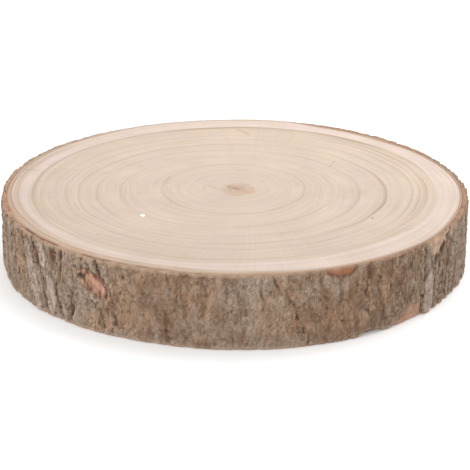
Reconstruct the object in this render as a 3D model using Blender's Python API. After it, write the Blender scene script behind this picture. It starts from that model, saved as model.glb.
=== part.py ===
"""A wood slice: one thick disc sawn across a trunk, with its bark still on.

Units are metres and +Z is up. The slice lies on its lower cut face at z = 0, and the trunk's axis is the Z
axis. Angles round the trunk are in degrees from +X, anticlockwise seen from above, so the side that faces
the viewer is at -90.
"""

import math
import random

import bmesh
import bpy
from mathutils import Vector, noise

# Driving dimensions
DIAMETER = 0.250
THICKNESS = 0.038
RIM_BREAK = 0.0007  # how far the worn edge of the bark draws in at each cut face
RIM_BREAK_DROP = 0.0013  # and how far below or above that face it reaches full width

# The trunk isn't quite round: (lobes round the trunk, height of each, angle of the first one)
TRUNK_LOBES = (
    (2, 0.0008, 135),
    (3, 0.0003, 60),
    (5, 0.0004, 0),
)

# Bark thickness on the cut faces, as (angle, thickness), joined by smooth steps round the trunk
BARK_THICKNESS = (
    (-180, 0.0045),
    (-150, 0.0068),
    (-105, 0.0070),
    (-85, 0.0058),
    (-60, 0.0036),
    (-40, 0.0024),
    (-20, 0.0040),
    (10, 0.0034),
    (30, 0.0040),
    (46, 0.0056),
    (64, 0.0048),
    (76, 0.0016),
    (84, 0.0013),
    (116, 0.0013),
    (132, 0.0036),
)

# Bark by stretches of the trunk: (from angle, to angle, furrow spacing, furrow depth, lean in degrees)
BARK_STRETCHES = (
    (-180, -152, 0.0058, 0.0013, 9),
    (-152, -119, 0.0085, 0.0005, 24),
    (-119, -62, 0.0115, 0.0006, 3),
    (-62, -42, 0.0090, 0.0006, -5),
    (-42, -4, 0.0068, 0.0009, -3),
    (-4, 66, 0.0090, 0.0012, 9),
    (66, 122, 0.0120, 0.0008, -8),
    (122, 180, 0.0072, 0.0013, 16),
)
FURROW_SEED = 11
FURROW_HALF_WIDTH = 0.0017
FURROW_WANDER = 0.0011  # how far a furrow sways to each side of its line
FURROW_SWAY = 5.5  # radians of sway from the lower cut face to the upper one
FURROW_REACH = 3  # half widths out to which a furrow is felt
FURROW_LEAN_SPREAD = 7  # degrees
FIRST_FURROW = (0.3, 0.6)  # where a stretch's first furrow is, as a share of its spacing
SPACING_SPREAD = (0.6, 1.4)  # shares of the stretch's spacing, and so on for the next two
DEPTH_SPREAD = (0.55, 1.3)
WIDTH_SPREAD = (0.7, 1.3)

# Deep fissures: (angle and height of the upper end, angle and height of the lower end, half width, depth)
FISSURES = (
    (-144.6, 0.0385, -140.8, 0.0235, 0.0015, 0.0013),
    (-140.8, 0.0235, -138.8, 0.0020, 0.0016, 0.0013),
    (-149.2, 0.0380, -148.2, 0.0140, 0.0013, 0.0009),
    (-133.2, 0.0380, -133.8, 0.0230, 0.0014, 0.0011),
    (-135.6, 0.0210, -134.4, 0.0050, 0.0013, 0.0009),
    (-129.9, 0.0190, -129.8, 0.0030, 0.0015, 0.0011),
    (-122.8, 0.0385, -122.2, 0.0325, 0.0018, 0.0014),
    (-119.2, 0.0270, -117.7, 0.0070, 0.0014, 0.0009),
    (-80.6, 0.0360, -76.5, 0.0200, 0.0013, 0.0008),
    (-76.5, 0.0200, -73.7, 0.0020, 0.0013, 0.0009),
    (-58.8, 0.0370, -59.2, 0.0130, 0.0024, 0.0008),
    (-27.8, 0.0360, -36.6, 0.0240, 0.0014, 0.0010),
    (-41.6, 0.0110, -41.6, 0.0000, 0.0012, 0.0010),
    (24.0, 0.0380, 29.0, 0.0120, 0.0015, 0.0012),
    (112.0, 0.0300, 106.0, 0.0000, 0.0014, 0.0008),
    (150.0, 0.0340, 146.0, 0.0040, 0.0015, 0.0012),
)
FISSURE_WANDER = 0.0006  # how far a fissure sways to each side of its line
FISSURE_WAVE = 0.011  # height over which it sways once to and fro

# Slow swelling of the bark between the furrows
SWELL_HEIGHT = 0.0005
SWELL_LENGTH = 0.016

# Places where the bark is broken away or stands proud:
# (angle, height of its middle, half width, half height, lean in degrees, depth), a proud one has depth < 0
BRANCH_SCARS = (
    (-123.0, 0.0253, 0.0103, 0.0052, -35, 0.0016),
    (41.0, 0.0150, 0.0085, 0.0050, 20, 0.0014),
    (158.0, 0.0235, 0.0070, 0.0045, -15, 0.0012),
)
FLAKED_PLACES = (
    (-65.8, 0.0380, 0.0080, 0.0052, 0, 0.0010),
    (-33.5, 0.0375, 0.0110, 0.0080, -14, 0.0009),
    (-45.8, 0.0035, 0.0085, 0.0055, 8, 0.0010),
    (-57.8, 0.0000, 0.0060, 0.0024, 0, 0.0026),
    (17.0, 0.0020, 0.0090, 0.0040, 0, 0.0011),
    (98.0, 0.0370, 0.0230, 0.0035, 0, 0.0008),
    (133.0, 0.0070, 0.0060, 0.0080, 12, 0.0010),
)
PROUD_PLATES = (
    (-39.6, 0.0090, 0.0034, 0.0125, -3, -0.0010),
    (-143.6, 0.0165, 0.0036, 0.0180, 17, -0.0007),
    (-139.9, 0.0315, 0.0026, 0.0070, 10, -0.0005),
    (-136.9, 0.0120, 0.0028, 0.0110, 6, -0.0006),
    (76.0, 0.0180, 0.0045, 0.0160, -6, -0.0008),
)

# Shares of a place's half size, measured out from its middle
PLACE_FULL = 0.85  # a flake or plate has its whole depth up to here
PLACE_END = 1.15  # and none from here
SCAR_FULL = 0.6
SCAR_END = 1.1
SCAR_PLAIN = (0.4, 1.4)  # inside the first of these a scar has no furrows, outside the second all of them
LIP_MIDDLE = 1.3
LIP_HALF_WIDTH = 0.25
SCAR_LIP = 0.45  # height of the swollen lip round a scar, as a share of the scar's depth

LEAST_BARK = 0.0005  # thickness left under the deepest furrow or broken place

# Mesh
COLUMNS = 400
ROWS = 9  # between the two worn edges
SHARP_ANGLE = 50  # degrees between two faces, from which their edge is shaded as sharp

BARK_COLOUR = (0.27, 0.19, 0.135, 1)
WOOD_COLOUR = (0.77, 0.64, 0.52, 1)

RADIUS = DIAMETER / 2


def smooth_step(share):
    share = min(1.0, max(0.0, share))
    return share * share * (3 - 2 * share)


def turned_by(angle, middle):
    """Degrees from middle to angle, the short way round."""
    return (angle - middle + 180) % 360 - 180


def trunk_radius(angle):
    """Radius of the bark's outside at this angle, without its relief."""
    lobes = sum(
        height * math.cos(count * math.radians(angle - first))
        for count, height, first in TRUNK_LOBES
    )
    return RADIUS + lobes


def bark_thickness(angle):
    """Thickness of the bark at this angle, read between the two nearest places in BARK_THICKNESS."""
    angle = (angle + 180) % 360 - 180
    first_angle, first = BARK_THICKNESS[0]
    places = BARK_THICKNESS + ((first_angle + 360, first),)
    for (low_angle, low), (high_angle, high) in zip(places, places[1:]):
        if low_angle <= angle <= high_angle:
            share = (angle - low_angle) / (high_angle - low_angle)
            return low + (high - low) * smooth_step(share)
    return first


def furrows():
    """The furrows, by walking round the trunk: (angle at mid height, slope, depth, half width, phase)."""
    draw = random.Random(FURROW_SEED)
    found = []
    for start, end, spacing, depth, lean in BARK_STRETCHES:
        step = math.degrees(spacing / RADIUS)
        angle = start + step * draw.uniform(*FIRST_FURROW)
        while angle < end:
            slope = math.tan(math.radians(lean + draw.gauss(0, FURROW_LEAN_SPREAD)))
            width = FURROW_HALF_WIDTH * draw.uniform(*WIDTH_SPREAD)
            phase = draw.uniform(0, 2 * math.pi)
            found.append((angle, slope, depth * draw.uniform(*DEPTH_SPREAD), width, phase))
            angle += step * draw.uniform(*SPACING_SPREAD)
    return found


FURROWS = furrows()


def furrow_depth(angle, height):
    """How far the deepest furrow here cuts into the bark."""
    deepest = 0.0
    above_middle = height - THICKNESS / 2
    for middle, slope, depth, half_width, phase in FURROWS:
        wander = FURROW_WANDER * math.sin(phase + FURROW_SWAY * height / THICKNESS)
        across = math.radians(turned_by(angle, middle)) * RADIUS + slope * above_middle + wander
        if abs(across) < FURROW_REACH * half_width:
            deepest = max(deepest, depth * math.exp(-((across / half_width) ** 2)))
    return deepest


def fissure_depth(angle, height):
    """How far the deepest fissure here cuts into the bark."""
    deepest = 0.0
    sway = FISSURE_WANDER * math.sin(2 * math.pi * height / FISSURE_WAVE)
    for high_angle, high, low_angle, low, half_width, depth in FISSURES:
        across = math.radians(turned_by(angle, high_angle)) * RADIUS + sway
        run = math.radians(turned_by(low_angle, high_angle)) * RADIUS
        drop = low - high
        share = (across * run + (height - high) * drop) / (run * run + drop * drop)
        share = min(1.0, max(0.0, share))
        distance = math.hypot(across - share * run, height - high - share * drop)
        deepest = max(deepest, depth * math.exp(-((distance / half_width) ** 2)))
    return deepest


def place_distance(angle, height, place):
    """Distance from the middle of a scar, flake or plate, as a share of its half size: 1 on its outline."""
    middle, middle_height, half_width, half_height, lean, _ = place
    across = math.radians(turned_by(angle, middle)) * RADIUS
    up = height - middle_height
    cosine = math.cos(math.radians(lean))
    sine = math.sin(math.radians(lean))
    along = (across * cosine + up * sine) / half_width
    athwart = (up * cosine - across * sine) / half_height
    return math.hypot(along, athwart)


def bark_relief(angle, height):
    """How far the bark stands out from the trunk's outline here. Furrows and broken places are below 0."""
    radians = math.radians(angle)
    around = Vector((math.cos(radians), math.sin(radians), 0)) * (RADIUS / SWELL_LENGTH)
    swell = SWELL_HEIGHT * noise.noise(around + Vector((0, 0, height / (2 * SWELL_LENGTH))))
    relief = swell - max(furrow_depth(angle, height), fissure_depth(angle, height))
    for place in FLAKED_PLACES + PROUD_PLATES:
        distance = place_distance(angle, height, place)
        relief -= place[-1] * smooth_step((PLACE_END - distance) / (PLACE_END - PLACE_FULL))
    for place in BRANCH_SCARS:
        distance = place_distance(angle, height, place)
        hollow = smooth_step((SCAR_END - distance) / (SCAR_END - SCAR_FULL))
        lip = SCAR_LIP * math.exp(-(((distance - LIP_MIDDLE) / LIP_HALF_WIDTH) ** 2))
        plain, furrowed = SCAR_PLAIN
        relief *= smooth_step((distance - plain) / (furrowed - plain))
        relief += place[-1] * (lip - hollow)
    return max(relief, LEAST_BARK - bark_thickness(angle))


def side_heights():
    """Heights of the mesh's rings up the bark, from the lower cut face to the upper one."""
    low = RIM_BREAK_DROP
    high = THICKNESS - RIM_BREAK_DROP
    between = [low + (high - low) * row / ROWS for row in range(ROWS + 1)]
    return [0.0] + between + [THICKNESS]


def bark_point(angle, height):
    on_face = height in (0.0, THICKNESS)
    radius = trunk_radius(angle) + bark_relief(angle, height) - (RIM_BREAK if on_face else 0)
    radians = math.radians(angle)
    return (radius * math.cos(radians), radius * math.sin(radians), height)


def cambium_point(angle, height):
    """Where the wood ends and the bark begins on a cut face."""
    radius = trunk_radius(angle) - bark_thickness(angle) - RIM_BREAK
    radians = math.radians(angle)
    return (radius * math.cos(radians), radius * math.sin(radians), height)


def material(name, colour, roughness):
    made = bpy.data.materials.new(name)
    made.use_nodes = True
    shader = made.node_tree.nodes["Principled BSDF"]
    shader.inputs["Base Color"].default_value = colour
    shader.inputs["Roughness"].default_value = roughness
    shader.inputs["Metallic"].default_value = 0.0
    made.diffuse_color = colour
    return made


def join_loops(mesh, lower, upper, material_index):
    """Faces between two rings of vertices, pointing out when upper is above or inside lower."""
    for column in range(COLUMNS):
        after = (column + 1) % COLUMNS
        face = mesh.faces.new((lower[column], lower[after], upper[after], upper[column]))
        face.material_index = material_index
        face.smooth = True


def wood_slice():
    """The whole slice as one solid: the wood and the bark on it grew as one piece."""
    bark, wood = 0, 1
    mesh = bmesh.new()
    angles = [360 * column / COLUMNS - 180 for column in range(COLUMNS)]
    rings = [
        [mesh.verts.new(bark_point(angle, height)) for angle in angles]
        for height in side_heights()
    ]
    under = [mesh.verts.new(cambium_point(angle, 0.0)) for angle in angles]
    over = [mesh.verts.new(cambium_point(angle, THICKNESS)) for angle in angles]
    for lower, upper in zip(rings, rings[1:]):
        join_loops(mesh, lower, upper, bark)
    join_loops(mesh, under, rings[0], bark)
    join_loops(mesh, rings[-1], over, bark)
    mesh.faces.new(over).material_index = wood
    mesh.faces.new(reversed(under)).material_index = wood
    data = bpy.data.meshes.new("wood_slice")
    mesh.to_mesh(data)
    mesh.free()
    data.materials.append(material("bark", BARK_COLOUR, 0.9))
    data.materials.append(material("cut_wood", WOOD_COLOUR, 0.65))
    data.set_sharp_from_angle(angle=math.radians(SHARP_ANGLE))
    made = bpy.data.objects.new("wood_slice", data)
    bpy.context.scene.collection.objects.link(made)
    return made


def clear_scene():
    for old in list(bpy.data.objects):
        bpy.data.objects.remove(old, do_unlink=True)


def main():
    clear_scene()
    wood_slice()


main()
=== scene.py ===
"""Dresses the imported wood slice: the sawn wood with its growth rings, the bark round it, and the stage.

Units are metres and +Z is up, as in the frame. The slice lies on its lower cut face at z = 0 and its trunk's
axis is the Z axis. Angles round the trunk are in degrees from +X, anticlockwise seen from above, so the side
that faces the viewer is at -90. An "age" is the mean radius of a growth ring, in millimetres.
"""

import math
import random

import bpy
import numpy as np
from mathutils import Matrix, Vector, noise


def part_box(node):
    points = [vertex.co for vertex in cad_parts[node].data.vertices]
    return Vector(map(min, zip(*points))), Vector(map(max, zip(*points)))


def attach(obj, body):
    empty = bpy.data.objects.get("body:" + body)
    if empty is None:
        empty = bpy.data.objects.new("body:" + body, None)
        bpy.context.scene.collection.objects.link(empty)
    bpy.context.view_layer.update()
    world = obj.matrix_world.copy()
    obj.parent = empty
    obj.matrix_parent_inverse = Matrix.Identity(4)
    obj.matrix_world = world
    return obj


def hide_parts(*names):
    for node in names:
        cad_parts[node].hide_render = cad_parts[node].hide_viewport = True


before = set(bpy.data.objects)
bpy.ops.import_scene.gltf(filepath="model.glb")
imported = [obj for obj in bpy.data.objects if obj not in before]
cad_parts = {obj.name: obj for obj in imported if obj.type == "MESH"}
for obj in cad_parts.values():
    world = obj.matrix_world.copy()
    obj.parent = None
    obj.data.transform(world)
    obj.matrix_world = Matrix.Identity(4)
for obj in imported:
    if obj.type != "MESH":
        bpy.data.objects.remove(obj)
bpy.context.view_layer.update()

bl_info = {
    "name": "Wood slice",
    "version": (1, 0, 0),
    "blender": (4, 5, 0),
    "location": "3D View > Sidebar > Wood slice",
    "description": "Makes a slice sawn across a trunk, with its growth rings and its bark",
    "category": "Add Mesh",
}

NODE = "wood_slice"
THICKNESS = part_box(NODE)[1].z


def from_millimetres(rows, *columns):
    """The rows of a table with these columns turned from millimetres into metres."""
    return [
        tuple(value / 1000 if place in columns else value for place, value in enumerate(row))
        for row in rows
    ]


# The trunk's outline and bark, with the same values as the solid's
RADIUS = 0.125
RIM_BREAK = 0.0007
RIM_BREAK_DROP = 0.0013

# (lobes round the trunk, height of each in millimetres, angle of the first one)
TRUNK_LOBES = from_millimetres((
    (2, 0.8, 135), (3, 0.3, 60), (5, 0.4, 0),
), 1)

# (angle, thickness of the bark on the cut faces in millimetres)
BARK_THICKNESS = from_millimetres((
    (-180, 4.5), (-150, 6.8), (-105, 7), (-85, 5.8), (-60, 3.6), (-40, 2.4), (-20, 4), (10, 3.4), (30, 4),
    (46, 5.6), (64, 4.8), (76, 1.6), (84, 1.3), (116, 1.3), (132, 3.6),
), 1)
LEAST_BARK = 0.0005

# (from angle, to angle, furrow spacing and furrow depth in millimetres, lean in degrees)
BARK_STRETCHES = from_millimetres((
    (-180, -152, 5.8, 1.3, 9), (-152, -119, 8.5, 0.5, 24), (-119, -62, 11.5, 0.6, 3), (-62, -42, 9, 0.6, -5),
    (-42, -4, 6.8, 0.9, -3), (-4, 66, 9, 1.2, 9), (66, 122, 12, 0.8, -8), (122, 180, 7.2, 1.3, 16),
), 2, 3)
FURROW_SEED = 11
FURROW_HALF_WIDTH = 0.0017
FURROW_WANDER = 0.0011
FURROW_SWAY = 5.5
FURROW_REACH = 3
FURROW_LEAN_SPREAD = 7
FIRST_FURROW = (0.3, 0.6)
SPACING_SPREAD = (0.6, 1.4)
DEPTH_SPREAD = (0.55, 1.3)
WIDTH_SPREAD = (0.7, 1.3)

# (angle and height of the upper end, angle and height of the lower end, half width, depth), in millimetres
FISSURES = from_millimetres((
    (-144.6, 38.5, -140.8, 23.5, 1.5, 1.3), (-140.8, 23.5, -138.8, 2, 1.6, 1.3),
    (-149.2, 38, -148.2, 14, 1.3, 0.9), (-133.2, 38, -133.8, 23, 1.4, 1.1), (-135.6, 21, -134.4, 5, 1.3, 0.9),
    (-129.9, 19, -129.8, 3, 1.5, 1.1), (-122.8, 38.5, -122.2, 32.5, 1.8, 1.4),
    (-119.2, 27, -117.7, 7, 1.4, 0.9), (-80.6, 36, -76.5, 20, 1.3, 0.8), (-76.5, 20, -73.7, 2, 1.3, 0.9),
    (-58.8, 37, -59.2, 13, 2.4, 0.8), (-27.8, 36, -36.6, 24, 1.4, 1), (-41.6, 11, -41.6, 0, 1.2, 1),
    (24, 38, 29, 12, 1.5, 1.2), (112, 30, 106, 0, 1.4, 0.8), (150, 34, 146, 4, 1.5, 1.2),
), 1, 3, 4, 5)
FISSURE_WANDER = 0.0006
FISSURE_WAVE = 0.011

SWELL_HEIGHT = 0.0005
SWELL_LENGTH = 0.016

# (angle, height of its middle, half width, half height, lean in degrees, depth), in millimetres
BRANCH_SCARS = from_millimetres((
    (-123, 25.3, 10.3, 5.2, -35, 1.6), (41, 15, 8.5, 5, 20, 1.4), (158, 23.5, 7, 4.5, -15, 1.2),
), 1, 2, 3, 5)
PROUD_PLATES = from_millimetres((
    (-39.6, 9, 3.4, 12.5, -3, -1), (-143.6, 16.5, 3.6, 18, 17, -0.7), (-139.9, 31.5, 2.6, 7, 10, -0.5),
    (-136.9, 12, 2.8, 11, 6, -0.6), (76, 18, 4.5, 16, -6, -0.8),
), 1, 2, 3, 5)
SCAR_FULL = 0.6
SCAR_END = 1.1
SCAR_PLAIN = (0.4, 1.4)
LIP_MIDDLE = 1.3
LIP_HALF_WIDTH = 0.25
SCAR_LIP = 0.45

# Places where the outer bark has flaked off, by their corners as (angle, height in millimetres)
# (corners, depth in millimetres, how orange the inner bark there is, how bare it is)
CHIPS = from_millimetres((
    (((-69.9, 40), (-69.2, 35.6), (-67, 33.4), (-64.2, 33.6), (-62.4, 36), (-61.8, 40)),
     1, 1, 1),
    (((-40.2, 40), (-38.8, 33), (-36.7, 27.8), (-33, 31.2), (-28, 35.2), (-24.6, 38), (-24.2, 40)),
     0.9, 0.15, 1),
    (((-51.5, -2), (-51, 3.4), (-48, 5.2), (-45.4, 8.6), (-43.4, 7.4), (-41.9, 9.2), (-41.6, -2)),
     1, 0.5, 1),
    (((-128.2, 30.5), (-126.8, 31), (-125, 27), (-124.4, 22.6), (-125.4, 21.6), (-127, 24.4), (-128, 27.5)),
     1.1, 0.35, 0.9),
    (((-25.5, 40), (-24.4, 37), (-21, 35.6), (-17, 36.6), (-12.5, 34.8), (-9, 37), (-8, 40)),
     0.6, 0.5, 0.75),
    (((12.8, -2), (13.6, 4), (17, 6), (20.6, 4.2), (21.2, -2)),
     1.1, 0.5, 0.9),
    (((87, 40), (89, 35.2), (97, 34.4), (106, 35), (109, 40)),
     0.8, 0.2, 0.7),
    (((130.4, 1), (131, 11), (133, 15), (135, 12), (135.8, 3), (133.6, -2)),
     1, 0.5, 0.8),
    (((-171, 40), (-170.2, 34), (-168, 31), (-166.6, 35), (-165.8, 40)),
     0.8, 0.4, 0.6),
), 1)
CHIP_EDGE = 0.0007
# Width of the painted shade along each chip's edge
CHIP_SHADE_WIDTH = 0.0005

# Slopes where the lower rim is broken: (angle, half its width in degrees, height and depth in millimetres)
RIM_SLOPES = from_millimetres((
    (-58, 3, 2.7, 3.6), (-51.8, 1.5, 1.3, 2), (-46, 2.2, 1, 1.4), (18, 2.4, 1.6, 2.2), (137, 2.2, 1.8, 2.4),
), 2, 3)

# How far the bark's fine growth bends its edges: (push, width, length of its lumps), in millimetres
RAGGEDNESS = from_millimetres((
    (1.1, 4.8, 6.2), (0.6, 1.7, 2.4),
), 0, 1, 2)

# How grey and how green the bark is round the trunk, as (angle, share)
BARK_GREY = (
    (-180, 0.58), (-150, 0.64), (-139, 0.85), (-128, 0.6), (-117, 0.25), (-100, 0.25), (-88, 0.45),
    (-70, 0.24), (-58, 0.12), (-48, 0.08), (-36, 0.55), (-20, 0.7), (20, 0.5), (80, 0.65), (130, 0.35),
)
BARK_GREEN = (
    (-180, 0.05), (-165, 0.2), (-120, 0.05), (-66, 0.05), (-58, 0.3), (-52, 0.05), (-40, 0.15), (-27, 0.28),
    (0, 0.22), (50, 0.3), (110, 0.15),
)

# Patches where the bark has more of one colour
# (angle, height of its middle, half width, half height, lean in degrees, strength), in millimetres
BARK_STAINS = {
    "grey": from_millimetres((
        (-139.9, 31.5, 3, 7.5, 10, 0.9), (-143.8, 16.5, 4.2, 18, 17, 0.9), (-136.9, 12, 3.4, 11.5, 6, 0.6),
        (-129, 19, 5, 11, 18, 0.5), (-157, 18, 5.2, 14, 4, 0.8), (-158, 34, 12, 4, 0, 0.8),
        (-98, 15, 3, 9, 3, 0.6), (-38.8, 9, 3.8, 12, -3, 0.6), (-30, 15, 6, 12, -6, 0.4),
        (70, 22, 7, 13, 10, 0.5), (155, 17, 5, 15, 12, 0.5),
    ), 1, 2, 3),
    "umber": from_millimetres((
        (-135.6, 31.5, 5.2, 6.4, 4, 1), (-97, 19, 26, 40, 0, 0.42), (-142.8, 31, 1.9, 8.5, 28, 0.95),
        (-139.2, 13, 2.5, 12, 12, 1), (-148.9, 35, 2, 4, 6, 0.8), (-169.5, 19, 2, 15, 8, 0.9),
        (-160.8, 18, 1.8, 15, 6, 0.85), (-155, 23, 1.6, 13, 5, 0.75), (-133.4, 20, 1.5, 8, 14, 0.6),
        (-129.8, 11, 1.7, 8.5, -4, 0.8), (-125.6, 33.5, 4.6, 3, -10, 0.35), (-117.8, 22, 1.6, 8, -14, 0.6),
        (-110.4, 27, 1.7, 9.5, -3, 0.55), (-107, 9, 3, 7, 0, 0.4), (-102.4, 24, 1.6, 8, -5, 0.6),
        (-93.5, 20, 4.2, 15, 0, 0.4), (-80.8, 32, 2.2, 5.5, -20, 0.6), (-75.8, 16, 2, 11, -20, 0.5),
        (-59, 25, 2.8, 14, 4, 0.95), (-50, 30, 8, 6, 0, 0.6), (-60, 19, 33, 30, 0, 0.32),
        (-47.6, 18, 10, 10, 10, 0.75), (-31, 30.2, 2.1, 11.5, -69, 0.95), (-29.5, 24, 2.2, 10, -12, 0.7),
        (-25.5, 12, 2, 12, -5, 0.7), (-13, 16, 2.2, 14, 6, 0.6), (25, 20, 3, 14, 10, 0.6),
        (96, 16, 4, 12, -8, 0.45), (128, 24, 3, 11, 12, 0.55), (170, 15, 3.5, 13, 5, 0.5),
    ), 1, 2, 3),
    "tan": from_millimetres((
        (-164.6, 15, 5.2, 11, 4, 1), (-150.6, 13, 6.2, 14, 6, 0.9), (-122, 6, 9.5, 5.8, 0, 0.8),
        (-114.5, 18, 5, 14, 0, 0.6), (-83, 17, 6, 12, 0, 0.5), (-69.8, 18, 3.5, 12, 0, 0.6),
        (-65, 13, 5, 11, 0, 0.8), (-54.6, 24, 2.6, 12, 3, 0.8), (-43.5, 33, 5, 4, 0, 0.7),
        (-14, 33, 9, 5, 0, 0.9), (-20.5, 18, 5, 12, 0, 0.8), (40, 30, 6, 6, 0, 0.5), (118, 14, 5, 10, 0, 0.5),
    ), 1, 2, 3),
}

# Thin cracks, darkened with painted shade
# (angle and height of the upper end, angle and height of the lower end, half width, strength), in millimetres
DARK_CRACKS = from_millimetres((
    (-172.5, 33, -171.8, 18, 0.9, 0.9), (-166.6, 35, -165.8, 19, 0.8, 0.9), (-162.6, 30, -162, 6, 0.8, 0.9),
    (-157.6, 36, -157, 20, 0.6, 0.9), (-153.4, 34, -152.2, 12, 0.6, 1), (-147, 30, -146.2, 7, 0.5, 0.9),
    (-131.8, 14, -131, 2, 0.6, 0.8), (-121.8, 16, -120.6, 3, 0.6, 0.8), (-144, 37, -141.2, 27, 0.6, 0.5),
    (-139.8, 18, -138.8, 3, 0.7, 0.6), (-133.4, 37, -133.6, 28, 0.7, 0.5), (-129.9, 19, -129.6, 5, 0.7, 0.6),
    (-122.8, 38, -122.3, 33, 1.1, 1.2), (-122.3, 33, -120.8, 28.5, 1.1, 1.3),
    (-120.8, 28.5, -118.8, 20.5, 0.8, 1.1), (-128.3, 30.6, -126.9, 27.6, 1.6, 1.5),
    (-126.9, 27.6, -125.6, 24, 0.6, 1), (-102.8, 33, -102.2, 22, 0.5, 0.6), (-81.6, 37, -79.8, 29, 0.6, 0.7),
    (-76.9, 20, -76, 15, 0.9, 0.8), (-75.2, 11, -74.6, 8, 0.9, 0.8), (-73.8, 5, -73.6, 0, 0.6, 0.8),
    (-59.4, 33, -59.8, 22, 0.9, 0.4), (-28, 37.5, -36.6, 26.2, 1.1, 1.2), (-36.6, 26.2, -36.2, 16, 0.6, 0.7),
    (-41.7, 9, -41.6, 0, 0.7, 0.8), (26, 33, 28.4, 15, 0.6, 0.7), (109, 18, 106.4, 2, 0.6, 0.6),
    (149, 30, 146.6, 9, 0.6, 0.7),
), 1, 3, 4)
DARK_CRACK_DEPTH = 0.0006

# How orange the sawn inner bark is, and how tan the outermost wood is, as (angle, share)
RIM_ORANGE = (
    (-180, 0.45), (-163, 0.6), (-148, 0.14), (-100, 0.05), (-40, 0.3), (-14, 0.55), (20, 0.05), (38, 0.3),
    (60, 0.45), (72, 0.05), (120, 0.05), (166, 0.1),
)
EDGE_TAN = (
    (-180, 0.6), (-165, 0.95), (-145, 0.85), (-125, 0.3), (-100, 0.1), (0, 0), (135, 0.2), (165, 0.6),
)
EDGE_TAN_AGE = 114.5

# How rough the bark's fine surface is, as (angle, share)
BARK_ROUGHNESS = (
    (-180, 1), (-120, 0.9), (-108, 0.55), (-65, 0.6), (-45, 0.9), (-30, 1.2), (60, 1), (120, 0.8),
)

# Share of the bark's thickness that is outer bark, as (angle, share)
OUTER_BARK_SHARE = (
    (-180, 0.6), (-165, 0.5), (-150, 0.36), (-136, 0.34), (-124, 0.27), (-105, 0.36), (-85, 0.45),
    (-60, 0.55), (0, 0.7), (70, 0.6),
)

# Depth of the crack between outer and inner bark, as (angle, depth in millimetres)
BARK_CRACK = from_millimetres((
    (-180, 0.08), (-154, 0.08), (-149, 1), (-137, 1), (-133, 0.08), (-128, 0.08), (-126, 0.9), (-122, 0.9),
    (-118, 0.2), (-110, 0.3), (-102, 0.08), (60, 0.08),
), 1)
CRACK_FULL_LINE = 0.0004

# How thin, smooth and pale the bark is at the upper rim, as (angle, share)
WORN_RIM = (
    (-180, 0), (66, 0), (78, 1), (112, 1), (126, 0.5), (140, 0),
)
CRUMB_FREE_RIM = 0.0022

# How far the sawn colour runs over the broken upper edge, as (angle, share)
TAN_EDGE = (
    (-180, 0.4), (-155, 0.9), (-98, 0.9), (-80, 0.5), (-50, 0.7), (0, 0.3), (150, 0.3),
)

# Growth rings, as (age, strength of the dark line, width of the line in millimetres)
RINGS = (
    (12.5, 0.14, 0.7), (17.5, 0.32, 0.7), (24.5, 0.3, 0.7), (30, 0.28, 0.7), (39.5, 0.6, 0.8),
    (43.5, 0.2, 0.6), (47, 0.16, 0.6), (52, 0.16, 0.5), (57, 0.42, 0.8), (60.5, 0.2, 0.6), (69.8, 0.6, 0.8),
    (75.5, 0.18, 0.6), (81, 0.75, 0.8), (89.2, 0.55, 0.7), (95.3, 0.36, 0.7), (99, 0.28, 0.5),
    (101.5, 0.4, 0.5), (103.6, 0.6, 0.5), (108, 0.32, 0.7), (112, 0.25, 0.5), (115.5, 0.35, 0.4),
    (118, 0.32, 0.4),
)

# Stretches where a line is stronger: (age, strength, width in millimetres, middle angle, half its stretch)
RING_ACCENTS = (
    (39.5, 0.7, 1, -60, 60), (39.5, 0.5, 0.9, 100, 40), (57, 0.8, 0.9, -60, 35), (69.8, 0.8, 0.9, -10, 40),
    (81, 1.2, 1.2, -20, 42), (81, 0.7, 1, 108, 30), (89.2, 0.6, 0.9, -100, 50), (95.3, 0.8, 0.8, 5, 45),
    (99.4, 0.9, 0.7, 15, 45), (102, 0.9, 0.8, -15, 25), (103.6, 1, 0.8, 20, 50), (106, 0.8, 0.6, 50, 45),
    (106, 0.7, 0.8, -48, 16), (108.2, 1.8, 1.5, 66, 46), (108.4, 1.3, 1.1, 150, 42),
    (107.5, 0.9, 0.8, -166, 25), (104.6, 0.7, 0.7, -120, 45), (110, 0.6, 0.6, -140, 40),
    (113, 0.6, 0.5, -60, 40), (116.6, 1, 0.6, 180, 45), (118.3, 0.9, 0.5, 178, 40), (118, 0.8, 0.5, 0, 45),
)
LAST_AGE = 120.5
HEARTWOOD_AGE = 108.0
PITH_AGE = 14.0

# The rings aren't quite round nor centred: (age, centre x and centre y in millimetres, stretch along x)
RING_DRIFT = from_millimetres((
    (0, 2, -1, 0), (17, 1.2, -1, 0.01), (30, -0.8, -1, -0.01), (39.5, -0.2, -1.4, -0.022), (57, -4, -4, 0),
    (70, -3.2, -4.8, 0.01), (81, -1, -4, 0.02), (89.2, -0.4, -2.6, 0.012), (103, -0.2, -0.4, 0.004),
    (108, 0, 0, 0), (121, 0, 0, 0),
), 1, 2)
RING_SWAY = 0.0009
FULL_SWAY_AGE = 60
LATEWOOD_REACH = 2.2
LATEWOOD_SHARE = 0.3
RING_FALL = 0.5

# The pith: centre and radius of the soft wood, and centres and half sizes of its dark streak and orange side
PITH_CENTRE = (0.0028, -0.0028)
PITH_RADIUS = 0.0106
STREAK_CENTRE = (-0.0022, 0.0010)
STREAK_HALF = (0.0052, 0.0018)
ORANGE_CENTRE = (0.0058, -0.0062)
ORANGE_HALF = (0.0048, 0.0032)
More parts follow.
